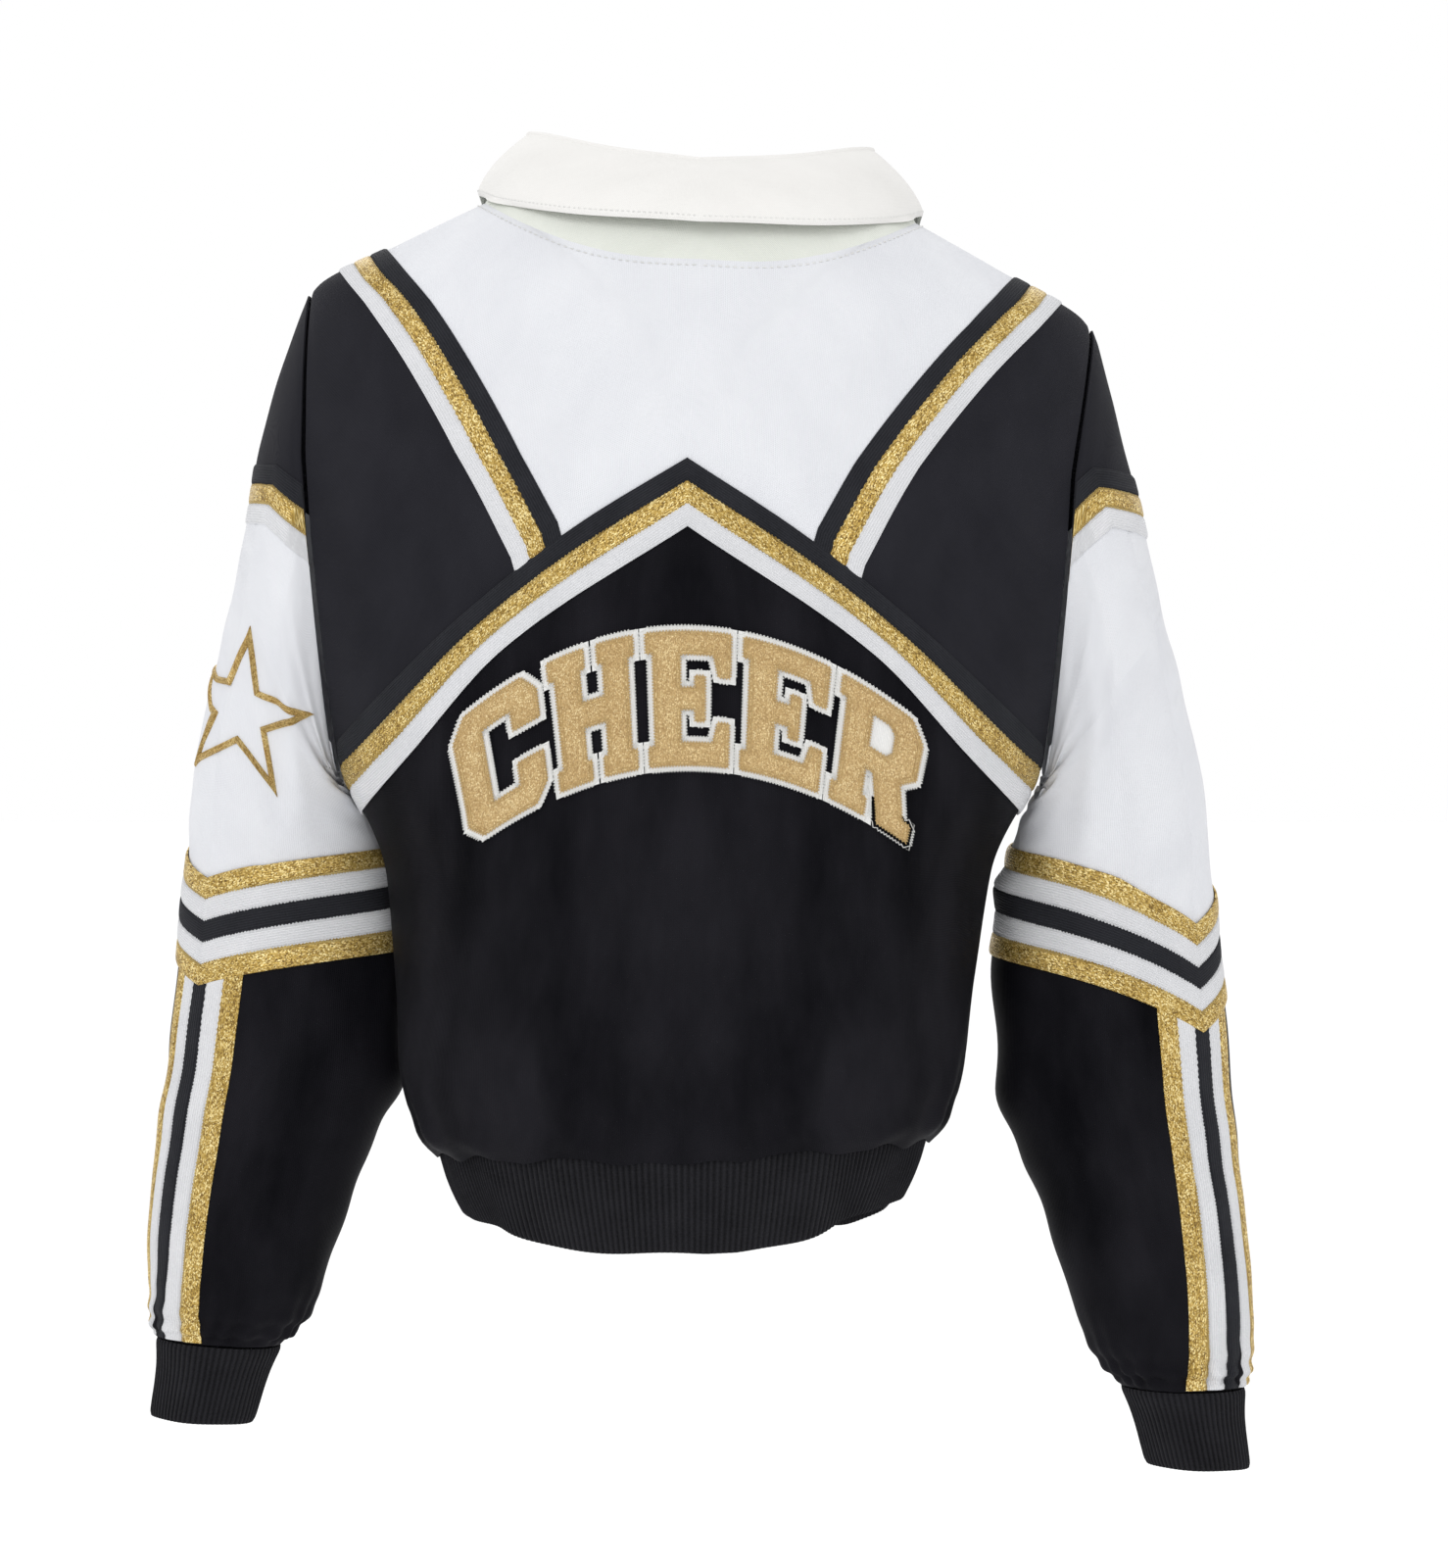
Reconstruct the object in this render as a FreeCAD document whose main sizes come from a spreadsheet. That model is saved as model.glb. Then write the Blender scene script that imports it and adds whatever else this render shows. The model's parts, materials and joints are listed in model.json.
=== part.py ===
import FreeCAD, Part
import math
import os
import Sketcher

# Long-sleeved cheerleading warm-up jacket: turned-down collar, zipped front,
# blouson body on a ribbed waistband, set-in sleeves on ribbed cuffs, braid
# trim and arched applique letters on the back.
#
# Frame: +Z up, the wearer faces -Y, the wearer's left is +X.  The origin is
# the centre of the neck opening at the height of the shoulder neck points.
# All sizes in millimetres.

os.makedirs("parts", exist_ok=True)

doc = FreeCAD.newDocument("CheerJacket")
sheet = doc.addObject("Spreadsheet::Sheet", "Dims")
doc.recompute()

cells_used = [0]


def dim(alias, value):
    """Write one driving dimension and give its cell the alias."""
    cells_used[0] += 1
    cell = "B%d" % cells_used[0]
    sheet.set("A%d" % cells_used[0], alias)
    sheet.set(cell, repr(value))
    sheet.setAlias(cell, alias)


def table(prefix, fields, rows):
    """Write one row of named dimensions for each cross-section or corner."""
    for index, row in enumerate(rows):
        for field, value in zip(fields, row):
            dim("%s_%s_%d" % (prefix, field, index), value)


# ---------------------------------------------------------------- dimensions

dim("cloth_thick", 2.0)
dim("rib_thick", 3.0)
dim("trim_gap", 1.0)
dim("braid_thick", 1.2)
dim("letter_gap", 0.5)
dim("letter_thick", 1.0)
dim("seam_gap", 0.6)
dim("front_opening", 6.0)
dim("reach", 400.0)

# Torso ovals from the neck down: height, half width, and depth behind and in
# front of the side seam.
TORSO_FIELDS = ("height", "half", "back", "front")
TORSO_ROWS = (
    (6.0, 96.0, 65.0, 56.0),
    (0.0, 108.0, 68.0, 60.0),
    (-25.0, 156.0, 80.0, 76.0),
    (-50.0, 200.0, 90.0, 91.0),
    (-78.0, 214.0, 98.0, 104.0),
    (-110.0, 221.0, 104.0, 103.4),
    (-165.0, 222.0, 110.0, 102.5),
    (-225.0, 211.0, 112.0, 101.4),
    (-282.0, 187.0, 110.0, 100.5),
    (-345.0, 157.0, 106.0, 99.4),
    (-400.0, 151.0, 103.0, 98.4),
    (-445.0, 148.0, 100.0, 97.7),
    (-472.0, 143.0, 97.0, 97.2),
    (-488.0, 133.0, 91.0, 96.9),
    (-494.0, 127.0, 87.0, 96.8),
)
table("torso", TORSO_FIELDS, TORSO_ROWS)

WAIST_ROWS = (
    (-494.8, 127.0, 87.0, 98.2),
    (-520.0, 121.0, 83.0, 97.8),
    (-546.0, 113.0, 79.0, 97.4),
)
table("waist", TORSO_FIELDS, WAIST_ROWS)

# Sleeve ovals from the armhole down: centre, half width across the sleeve,
# half depth, and the tilt of the long axis above the horizontal.  Oval 2 is
# where the limp sleeve folds when it is lifted.
SLEEVE_FIELDS = ("across", "height", "forward", "half", "depth", "tilt")
SLEEVE_ROWS = (
    (194.0, -172.5, 0.0, 121.0, 54.0, 85.5),
    (204.2, -208.0, 0.0, 92.0, 52.0, 78.0),
    (212.0, -249.0, -5.0, 60.0, 48.0, 60.4),
    (214.0, -285.0, -14.0, 51.0, 43.0, 34.4),
    (215.5, -320.0, -23.0, 53.0, 40.0, 13.6),
    (213.8, -357.0, -30.0, 57.5, 39.0, 2.0),
    (218.5, -449.0, -32.0, 62.5, 38.0, 1.0),
    (231.5, -502.0, -32.0, 55.0, 35.0, 1.0),
    (242.5, -553.0, -32.0, 48.5, 32.0, 1.0),
    (248.5, -587.0, -32.0, 42.5, 30.0, 2.0),
    (255.0, -604.0, -32.0, 33.0, 27.0, 2.0),
)
table("sleeve", SLEEVE_FIELDS, SLEEVE_ROWS)
FOLD_OVAL = 2.0
LAST_OVAL = len(SLEEVE_ROWS) - 1.0

CUFF_ROWS = (
    (255.1, -605.0, -32.0, 33.0, 28.0, 2.0),
    (258.5, -622.0, -32.0, 29.5, 25.5, 1.0),
    (263.5, -646.0, -32.0, 27.5, 24.0, 1.0),
)
table("cuff", SLEEVE_FIELDS, CUFF_ROWS)

# Pattern lines on the front view: x from the centre, and z.
LINE_FIELDS = ("x", "z")
LINES = {
    "v_inner": ((61.5, -173.5), (89.0, -125.0), (124.0, -74.0), (162.0, -29.0)),
    "v_middle": ((72.5, -199.0), (99.5, -135.0), (135.0, -82.0), (174.0, -35.5)),
    "v_outer": ((85.0, -191.5), (110.0, -144.5), (146.0, -90.0), (186.0, -42.0)),
    "chevron_top": ((0.0, -135.0), (58.0, -172.0), (112.0, -214.0), (180.0, -276.0)),
    "chevron_middle": ((0.0, -152.0), (72.5, -199.0), (127.5, -248.0), (181.0, -296.0)),
    "chevron_bottom": ((0.0, -169.0), (92.0, -231.0), (143.0, -285.0), (172.0, -314.0)),
}
for line_name, corners in LINES.items():
    table(line_name, LINE_FIELDS, corners)
dim("armhole_top_x", 201.5)
dim("armhole_top_z", -51.0)
dim("armhole_lean", 0.0788)

# Neck opening oval, and the collar's roll line and the edge of its leaf.
dim("neck_half", 109.0)
dim("neck_back", 80.0)
dim("neck_front", 99.0)
ROLL_FIELDS = ("turn", "x", "y", "z")
ROLL_ROWS = (
    (90.0, 0.0, 62.0, 22.0),
    (60.0, 45.0, 53.0, 24.0),
    (30.0, 77.0, 31.0, 28.0),
    (0.0, 88.0, -2.0, 30.0),
    (-30.0, 78.0, -40.0, 20.0),
    (-60.0, 46.0, -78.0, -14.0),
    (-86.5, 7.0, -97.0, -50.0),
)
table("roll", ROLL_FIELDS, ROLL_ROWS)
EDGE_ROWS = (
    (90.0, 0.0, 86.0, -7.0),
    (60.0, 62.0, 73.5, -6.5),
    (30.0, 101.5, 40.0, -3.0),
    (0.0, 115.0, -3.0, 1.0),
    (-30.0, 110.0, -56.0, -20.0),
    (-60.0, 84.0, -97.0, -66.0),
    (-86.5, 52.0, -108.0, -112.0),
)
table("edge", ROLL_FIELDS, EDGE_ROWS)

# Zipper: the slider runs down a straight centre front line.
dim("zip_top", -80.0)
dim("zip_bottom", -533.0)
dim("zip_front", -104.0)
dim("zip_lean", 1.0)
dim("tape_inner", 3.8)
dim("tape_outer", 14.0)
dim("tape_depth", 3.4)
dim("tape_thick", 1.0)
dim("coil_inner", 0.8)
dim("coil_width", 2.6)
dim("coil_depth", 0.8)
dim("coil_thick", 2.4)
dim("slider_length", 14.0)
dim("slider_half", 4.2)
dim("slider_web", 0.4)
dim("pull_length", 26.0)
dim("pull_half", 2.6)
dim("pull_thick", 1.3)
dim("pin_radius", 0.75)
dim("lug_bore", 1.05)
dim("pin_out", 4.8)

# Arched block letters on the back and the embroidered star on the left sleeve.
dim("letter_high", 60.0)
dim("letter_wide", 39.0)
dim("letter_border", 2.5)
dim("letter_pitch", 46.0)
dim("letter_base", -284.0)
dim("arch_drop", 11.0)
dim("letter_lean", 8.0)
dim("star_radius", 44.0)
dim("star_ratio", 0.4)
dim("star_line", 0.82)
dim("star_turn", 66.0)
dim("star_place", 3.1)

doc.recompute()


def num(alias):
    """Present value of a dimension."""
    return float(sheet.get(alias))


def rows_of(prefix, fields, count):
    """A dimension table read back from the sheet."""
    return [[num("%s_%s_%d" % (prefix, field, index)) for field in fields] for index in range(count)]


# --------------------------------------------------- smooth curves in a table


def smooth(keys, values, key):
    """Monotone cubic curve through (key, value) pairs; keys may rise or fall."""
    if keys[0] > keys[-1]:
        keys = keys[::-1]
        values = values[::-1]
    key = min(max(key, keys[0]), keys[-1])
    count = len(keys)
    slopes = [(values[i + 1] - values[i]) / (keys[i + 1] - keys[i]) for i in range(count - 1)]
    tangents = [slopes[0]]
    for i in range(1, count - 1):
        same_sign = slopes[i - 1] * slopes[i] > 0
        tangents.append(2 * slopes[i - 1] * slopes[i] / (slopes[i - 1] + slopes[i]) if same_sign else 0.0)
    tangents.append(slopes[-1])
    low = 0
    while low < count - 2 and key > keys[low + 1]:
        low += 1
    span = keys[low + 1] - keys[low]
    f = (key - keys[low]) / span
    start = (1 + 2 * f) * (1 - f) ** 2 * values[low] + f * (1 - f) ** 2 * span * tangents[low]
    end = f * f * (3 - 2 * f) * values[low + 1] + f * f * (f - 1) * span * tangents[low + 1]
    return start + end


class Curves:
    """Columns of a dimension table as smooth curves of its first column."""

    def __init__(self, rows):
        self.keys = [row[0] for row in rows]
        self.columns = [[row[i] for row in rows] for i in range(1, len(rows[0]))]

    def at(self, key):
        return [smooth(self.keys, column, key) for column in self.columns]


torso_curves = Curves(rows_of("torso", TORSO_FIELDS, len(TORSO_ROWS)))
sleeve_rows = rows_of("sleeve", SLEEVE_FIELDS, len(SLEEVE_ROWS))
sleeve_curves = Curves([[float(index)] + row for index, row in enumerate(sleeve_rows)])
roll_curves = Curves(rows_of("roll", ROLL_FIELDS, len(ROLL_ROWS)))
edge_curves = Curves(rows_of("edge", ROLL_FIELDS, len(EDGE_ROWS)))


def torso_at(turn, height):
    """Torso surface: turn 0 is the left side seam, 90 the centre back, -90 the front."""
    half, back, front = torso_curves.at(height)
    depth = back if turn >= 0 else front
    angle = math.radians(turn)
    return FreeCAD.Vector(half * math.cos(angle), depth * math.sin(angle), height)


def sleeve_at(turn, place):
    """Left sleeve surface: turn 0 is its outer edge, 90 its back; place counts ovals."""
    across, height, forward, half, depth, tilt = sleeve_curves.at(place)
    angle = math.radians(turn)
    lean = math.radians(tilt)
    along = half * math.cos(angle)
    return FreeCAD.Vector(
        across + along * math.cos(lean), forward + depth * math.sin(angle), height + along * math.sin(lean)
    )


def raised(surface, first, second, offset, centre):
    """Point of a surface moved out along its normal, away from the centre."""
    point = surface(first, second)
    if abs(offset) < 1e-9:
        return point
    step_a = 0.2
    step_b = 0.2 if surface is torso_at else 0.01
    side_a = surface(first + step_a, second) - surface(first - step_a, second)
    side_b = surface(first, second + step_b) - surface(first, second - step_b)
    normal = side_a.cross(side_b)
    normal.normalize()
    if normal.dot(point - centre) < 0:
        normal = normal * -1
    return point + normal * offset


def on_torso(turn, height, offset):
    return raised(torso_at, turn, height, offset, FreeCAD.Vector(0, 0, height - 40))


def on_sleeve(turn, place, offset):
    across, height, forward = sleeve_curves.at(place)[:3]
    return raised(sleeve_at, turn, place, offset, FreeCAD.Vector(across, forward, height))


def turn_of(x, height, back=True):
    """Turn of the torso point that the front view shows at x."""
    half = torso_curves.at(height)[0]
    turn = math.degrees(math.acos(max(-1.0, min(1.0, x / half))))
    return turn if back else -turn


# ------------------------------------------------------ thin solids from grids


def spline_rows(grid):
    """Poles and knots of a cubic surface through a grid of points."""
    def curve_through(points):
        steps = [index / (len(points) - 1.0) for index in range(len(points))]
        curve = Part.BSplineCurve()
        curve.interpolate(Points=points, Parameters=steps)
        return curve

    across = [curve_through(row) for row in grid]
    pole_rows = [curve.getPoles() for curve in across]
    down = [curve_through([row[column] for row in pole_rows]) for column in range(len(pole_rows[0]))]
    poles = [[curve.getPoles()[index] for curve in down] for index in range(len(down[0].getPoles()))]
    return poles, down[0], across[0]


def surface_face(poles, down, across):
    surface = Part.BSplineSurface()
    surface.buildFromPolesMultsKnots(
        poles, down.getMultiplicities(), across.getMultiplicities(),
        down.getKnots(), across.getKnots(), False, False, down.Degree, across.Degree,
    )
    return surface.toShape()


def wall(outer_poles, inner_poles, curve):
    """Ruled edge face between the matching borders of the two skins."""
    surface = Part.BSplineSurface()
    surface.buildFromPolesMultsKnots(
        [outer_poles, inner_poles], [2, 2], curve.getMultiplicities(),
        [0.0, 1.0], curve.getKnots(), False, False, 1, curve.Degree,
    )
    return surface.toShape()


def thin_solid(blocks, closed=False):
    """Solid from blocks (outer grid, inner grid) side by side; rows run across all of them."""
    faces = []
    for index, (outer, inner) in enumerate(blocks):
        outer_poles, down, across = spline_rows(outer)
        inner_poles = spline_rows(inner)[0]
        faces.append(surface_face(outer_poles, down, across))
        faces.append(surface_face(inner_poles, down, across))
        faces.append(wall(outer_poles[0], inner_poles[0], across))
        faces.append(wall(outer_poles[-1], inner_poles[-1], across))
        if index == 0 and not closed:
            faces.append(wall([row[0] for row in outer_poles], [row[0] for row in inner_poles], down))
        if index == len(blocks) - 1 and not closed:
            faces.append(wall([row[-1] for row in outer_poles], [row[-1] for row in inner_poles], down))
    sewn = Part.makeCompound(faces)
    sewn.sewShape()
    solid = Part.makeSolid(sewn.Shells[0])
    if solid.Volume < 0:
        solid.reverse()
    return solid


def fill(start_line, end_line, rows):
    """Grid of (a, b) pairs between two lines with the same number of points."""
    grid = []
    for index in range(rows + 1):
        f = index / float(rows)
        grid.append([tuple(p * (1 - f) + q * f for p, q in zip(a, b)) for a, b in zip(start_line, end_line)])
    return grid


def quilt(bottom, top, left, right):
    """Grid of (a, b) pairs bounded by four lines: rows run bottom to top, columns left to right."""
    last_row = len(left) - 1.0
    last_column = len(bottom) - 1.0
    grid = []
    for i in range(len(left)):
        v = i / last_row
        row = []
        for j in range(len(bottom)):
            u = j / last_column
            pair = []
            for k in (0, 1):
                across = bottom[j][k] * (1 - v) + top[j][k] * v
                along = left[i][k] * (1 - u) + right[i][k] * u
                low = bottom[0][k] * (1 - u) + bottom[-1][k] * u
                high = top[0][k] * (1 - u) + top[-1][k] * u
                pair.append(across + along - low * (1 - v) - high * v)
            row.append(tuple(pair))
        grid.append(row)
    return grid


def straight(start, end, count):
    """Evenly spaced (a, b) pairs between two points."""
    points = []
    for index in range(count + 1):
        f = index / float(count)
        points.append(tuple(p * (1 - f) + q * f for p, q in zip(start, end)))
    return points


def layer(place_point, grid, inner, outer):
    """Outer and inner skins of one block at two offsets."""
    skins = []
    for offset in (outer, inner):
        skins.append([[place_point(a, b, offset) for a, b in row] for row in grid])
    return tuple(skins)


nodes = {}


def keep(node, obj):
    """Register a finished piece under its node name."""
    obj.Label = node
    nodes[node] = obj
    return obj


def cloth(node, blocks, closed=False):
    """A sewn cloth or braid piece."""
    piece = doc.addObject("Part::Feature", node + "_cloth")
    piece.Shape = thin_solid(blocks, closed)
    piece.Placement = FreeCAD.Placement()
    return keep(node, piece)


def mirror_of(node, source):
    """The wearer's right-hand copy of a left-hand piece."""
    twin = doc.addObject("Part::Mirroring", node + "_mirror")
    twin.Source = source
    twin.Normal = FreeCAD.Vector(1, 0, 0)
    return keep(node, twin)


def cloth_pair(node, blocks, closed=False):
    left = cloth(node + "_left", blocks, closed)
    mirror_of(node + "_right", left)
    return left


# ----------------------------------------------------------------- torso lines

CLOTH = (-num("cloth_thick"), 0.0)
TRIM = (num("trim_gap"), num("trim_gap") + num("braid_thick"))
LETTER = (TRIM[1] + num("letter_gap"), TRIM[1] + num("letter_gap") + num("letter_thick"))
HALF_GAP = num("seam_gap") / 2
SEAM_TURN = 0.15
COLUMNS = 12
ROWS = 12


def pattern_line(name, low_x, high_x, shift, back, count=COLUMNS):
    """(turn, height) points along a pattern line between two x values."""
    corners = rows_of(name, LINE_FIELDS, len(LINES[name]))
    keys = [corner[0] for corner in corners]
    heights = [corner[1] for corner in corners]
    points = []
    for index in range(count + 1):
        x = low_x + (high_x - low_x) * index / float(count)
        height = smooth(keys, heights, x) + shift
        half = torso_curves.at(height)[0]
        turn = turn_of(min(x, half * math.cos(math.radians(SEAM_TURN))), height, back)
        points.append((turn, height))
    return points


def rising_line(name, low_z, high_z, shift, back, count=ROWS):
    """(turn, height) points up a steep pattern line, closer together near the shoulder."""
    corners = rows_of(name, LINE_FIELDS, len(LINES[name]))
    keys = [corner[1] for corner in corners]
    places = [corner[0] for corner in corners]
    points = []
    for index in range(count + 1):
        height = high_z - (high_z - low_z) * (1 - index / float(count)) ** 2
        x = smooth(keys, places, height) + shift
        half = torso_curves.at(height)[0]
        turn = turn_of(min(x, half * math.cos(math.radians(SEAM_TURN))), height, back)
        points.append((turn, height))
    # The line's upper end is on the shoulder ridge, where back and front meet.
    ridge_turn = SEAM_TURN * 2 if back else -SEAM_TURN * 2
    points[-1] = (ridge_turn, ridge_height(corners[-1][0] + shift))
    return points


def ridge_height(x):
    """Height of the shoulder ridge at a distance from the centre."""
    low, high = -60.0, 6.0
    for _ in range(40):
        middle = (low + high) / 2
        if torso_curves.at(middle)[0] > x:
            low = middle
        else:
            high = middle
    return low


def armhole_x(height):
    return num("armhole_top_x") - num("armhole_lean") * (num("armhole_top_z") - height)


def neck_point(turn):
    """(turn, height) of the neck seam where the neck oval meets the torso."""
    angle = math.radians(turn)
    depth = num("neck_back") if turn >= 0 else num("neck_front")
    # Behind, the seam is squarer than an oval.
    power = 0.8 if turn >= 0 else 1.0
    x = num("neck_half") * math.cos(angle) ** power
    y = depth * math.copysign(abs(math.sin(angle)) ** power, turn)
    low, high = -100.0, 6.0
    for _ in range(50):
        middle = (low + high) / 2
        half, back, front = torso_curves.at(middle)
        reach = (x / half) ** 2 + (y / (back if turn >= 0 else front)) ** 2
        if reach > 1:
            high = middle
        else:
            low = middle
    half, back, front = torso_curves.at(low)
    return math.degrees(math.atan2(y / (back if turn >= 0 else front), x / half)), low


armpit_low, armpit_high = -320.0, -240.0
for _ in range(40):
    armpit = (armpit_low + armpit_high) / 2
    if torso_curves.at(armpit)[0] > armhole_x(armpit):
        armpit_high = armpit
    else:
        armpit_low = armpit


def flip(blocks_points):
    """Mirror (turn, height) points to the other side of the centre."""
    def other(turn):
        return 180.0 - turn if turn >= 0 else -180.0 - turn
    return [(other(turn), height) for turn, height in blocks_points]


def mirrored_grid(grid):
    return [flip(row)[::-1] for row in grid]


# ------------------------------------------------------- back and front cloth

V_SPLIT = 40.0
for half_name, back in (("back", True), ("front", False)):
    sign = 1 if back else -1
    start_x = 0.0 if back else num("front_opening")
    junction = num("v_middle_x_0")
    ridge_x = num("v_middle_x_3")

    # Yoke: inner block up to the neck seam, outer block up to the shoulder ridge.
    low_inner = pattern_line("chevron_middle", start_x, V_SPLIT, HALF_GAP, back)
    low_outer = pattern_line("chevron_middle", V_SPLIT, junction - 0.4, HALF_GAP, back)
    first_turn = 90.0 if back else math.degrees(math.acos(start_x / num("neck_half")))
    neck_line = []
    for index in range(COLUMNS + 1):
        neck_line.append(neck_point(sign * (first_turn + (0.4 - first_turn) * index / float(COLUMNS))))
    if not back:
        neck_line[0] = (turn_of(start_x, neck_line[0][1], False), neck_line[0][1])
    ridge_line = []
    for index in range(COLUMNS + 1):
        x = num("neck_half") + (ridge_x - 0.4 - num("neck_half")) * index / float(COLUMNS)
        ridge_line.append((sign * SEAM_TURN * 2, ridge_height(x)))
    ridge_line[0] = neck_line[-1]
    v_side = rising_line("v_middle", num("v_middle_z_0"), num("v_middle_z_3"), -0.4, back)
    ridge_line[-1] = v_side[-1]
    low_outer[-1] = v_side[0]
    split_line = [low_outer[0]]
    for index in range(1, ROWS):
        f = (1 - index / float(ROWS)) ** 2
        height = low_outer[0][1] * f + ridge_line[0][1] * (1 - f)
        split_line.append((turn_of(V_SPLIT * f + num("neck_half") * (1 - f), height, back), height))
    split_line.append(ridge_line[0])
    outer_grid = quilt(low_outer, ridge_line, split_line, v_side)
    centre_line = straight(low_inner[0], neck_line[0], ROWS)
    inner_grid = quilt(low_inner, neck_line, centre_line, split_line)
    if back:
        yoke_grids = [mirrored_grid(outer_grid), mirrored_grid(inner_grid), inner_grid, outer_grid]
        cloth("back_yoke", [layer(on_torso, grid, *CLOTH) for grid in yoke_grids])
    else:
        cloth_pair("front_yoke", [layer(on_torso, grid, *CLOTH) for grid in (inner_grid, outer_grid)])

    # Side panel between the braid line and the armhole.
    inner_side = rising_line("v_middle", num("v_middle_z_0"), num("v_middle_z_3"), 0.4, back)
    outer_side = []
    for index in range(ROWS + 1):
        rise = (1 - math.cos(math.pi * index / float(ROWS))) / 2
        height = armpit + 0.6 + (num("armhole_top_z") + 1.0 - armpit - 0.6) * rise
        limit = torso_curves.at(height)[0] * math.cos(math.radians(SEAM_TURN))
        outer_side.append((turn_of(min(armhole_x(height), limit), height, back), height))
    low_side = pattern_line("chevron_middle", junction + 0.4, num("chevron_middle_x_3"), HALF_GAP, back)
    low_side[0] = inner_side[0]
    low_side[-1] = outer_side[0]
    shoulder_line = straight(inner_side[-1], outer_side[-1], COLUMNS)
    side_grid = quilt(low_side, shoulder_line, inner_side, outer_side)
    cloth_pair(half_name + "_side_panel", [layer(on_torso, side_grid, *CLOTH)])

    # Lower body from the chevron down to the waistband seam.
    top_line = pattern_line("chevron_middle", start_x, num("chevron_middle_x_3"), -HALF_GAP, back, 16)
    hem = num("torso_height_%d" % (len(TORSO_ROWS) - 1))
    hem_start = turn_of(start_x, hem, back)
    hem_line = []
    for index in range(17):
        hem_line.append((hem_start + (sign * SEAM_TURN * 2 - hem_start) * index / 16.0, hem))
    body_grid = []
    for index in range(21):
        f = index / 20.0
        row = []
        for (turn_a, height_a), (turn_b, height_b) in zip(hem_line, top_line):
            height = height_a * (1 - f) + height_b * f
            turn = turn_a * (1 - f) + turn_b * f
            row.append((turn, height))
        if not back:
            row[0] = (turn_of(start_x, row[0][1], False), row[0][1])
        body_grid.append(row)
    if back:
        body_blocks = [layer(on_torso, grid, *CLOTH) for grid in (mirrored_grid(body_grid), body_grid)]
        cloth("back_body_panel", body_blocks)
    else:
        cloth_pair("front_body_panel", [layer(on_torso, body_grid, *CLOTH)])

    # Braid: the V from shoulder to chevron, and the chevron itself.
    v_in = rising_line("v_inner", num("v_inner_z_0"), num("v_inner_z_3"), 0.0, back, 12)
    v_out = rising_line("v_outer", num("v_outer_z_0"), num("v_outer_z_3"), 0.0, back, 12)
    cloth_pair(half_name + "_v_braid", [layer(on_torso, fill(v_in, v_out, 6), *TRIM)])
    chevron_top = pattern_line("chevron_top", start_x, num("chevron_top_x_3"), 0.0, back, 26)
    chevron_low = pattern_line("chevron_bottom", start_x, num("chevron_bottom_x_3"), 0.0, back, 26)
    chevron_grid = fill(chevron_low, chevron_top, 8)
    if back:
        chevron_grids = (mirrored_grid(chevron_grid), chevron_grid)
        cloth("back_chevron_braid", [layer(on_torso, grid, *TRIM) for grid in chevron_grids])
    else:
        cloth_pair("front_chevron_braid", [layer(on_torso, chevron_grid, *TRIM)])

# --------------------------------------------------------------------- collar

COLLAR_TURNS = [-86.5 + 176.5 * index / 24.0 for index in range(25)]


def clear_of_torso(point, clearance):
    """Push a collar point outwards until it stands clear of the torso."""
    half, back, front = torso_curves.at(min(point.z, 6.0))
    depth = back if point.y >= 0 else front
    reach = math.sqrt((point.x / half) ** 2 + (point.y / depth) ** 2)
    wanted = 1 + clearance / 100.0
    if reach >= wanted or point.z > 5.0:
        return point
    return FreeCAD.Vector(point.x * wanted / reach, point.y * wanted / reach, point.z)


def stand_point(turn, f):
    """Collar stand from the neck seam (f = 0) to just under the roll line (f = 1)."""
    seam = on_torso(*neck_point(turn), 0.0)
    foot = FreeCAD.Vector(seam.x * 0.985, seam.y * 0.985, seam.z + 1.6)
    x, y, z = roll_curves.at(turn)
    top = FreeCAD.Vector(x, y, z - 2.5)
    return foot * (1 - f) + top * f


def leaf_point(turn, f):
    """Collar leaf from the roll line (f = 0) down to its free edge (f = 1)."""
    x, y, z = roll_curves.at(turn)
    top = FreeCAD.Vector(x * 1.02, y * 1.02, z + 2.0)
    x, y, z = edge_curves.at(turn)
    edge = FreeCAD.Vector(x, y, z)
    bulge = 4.0 * math.sin(math.pi * f)
    out = FreeCAD.Vector(math.cos(math.radians(turn)), math.sin(math.radians(turn)), 0.0)
    return clear_of_torso(top * (1 - f) + edge * f + out * bulge, 4.5)


def collar_blocks(point_at, inner, outer, rows):
    """Right and left halves of a collar piece, joined at the centre back."""
    skins = []
    for offset in (outer, inner):
        grid = []
        for row_index in range(rows + 1):
            f = row_index / float(rows)
            row = []
            for turn in COLLAR_TURNS:
                out = FreeCAD.Vector(math.cos(math.radians(turn)), math.sin(math.radians(turn)), 0.5)
                out.normalize()
                if turn == COLLAR_TURNS[-1]:
                    out.x = 0.0
                row.append(point_at(turn, f) + out * offset)
            row[-1].x = 0.0
            grid.append(row)
        skins.append(grid)
    left = tuple([row[:] for row in grid] for grid in skins)
    right = tuple([[FreeCAD.Vector(-p.x, p.y, p.z) for p in row[::-1]] for row in grid] for grid in skins)
    return [left, right]


cloth("collar_stand", collar_blocks(stand_point, -num("cloth_thick"), 0.0, 4))
cloth("collar_top_leaf", collar_blocks(leaf_point, 0.0, num("braid_thick"), 6))
cloth("collar_under_leaf", collar_blocks(leaf_point, -num("braid_thick") - 0.4, -0.4, 6))

# -------------------------------------------------------------------- sleeves

OUTSEAM = 42.0


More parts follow.
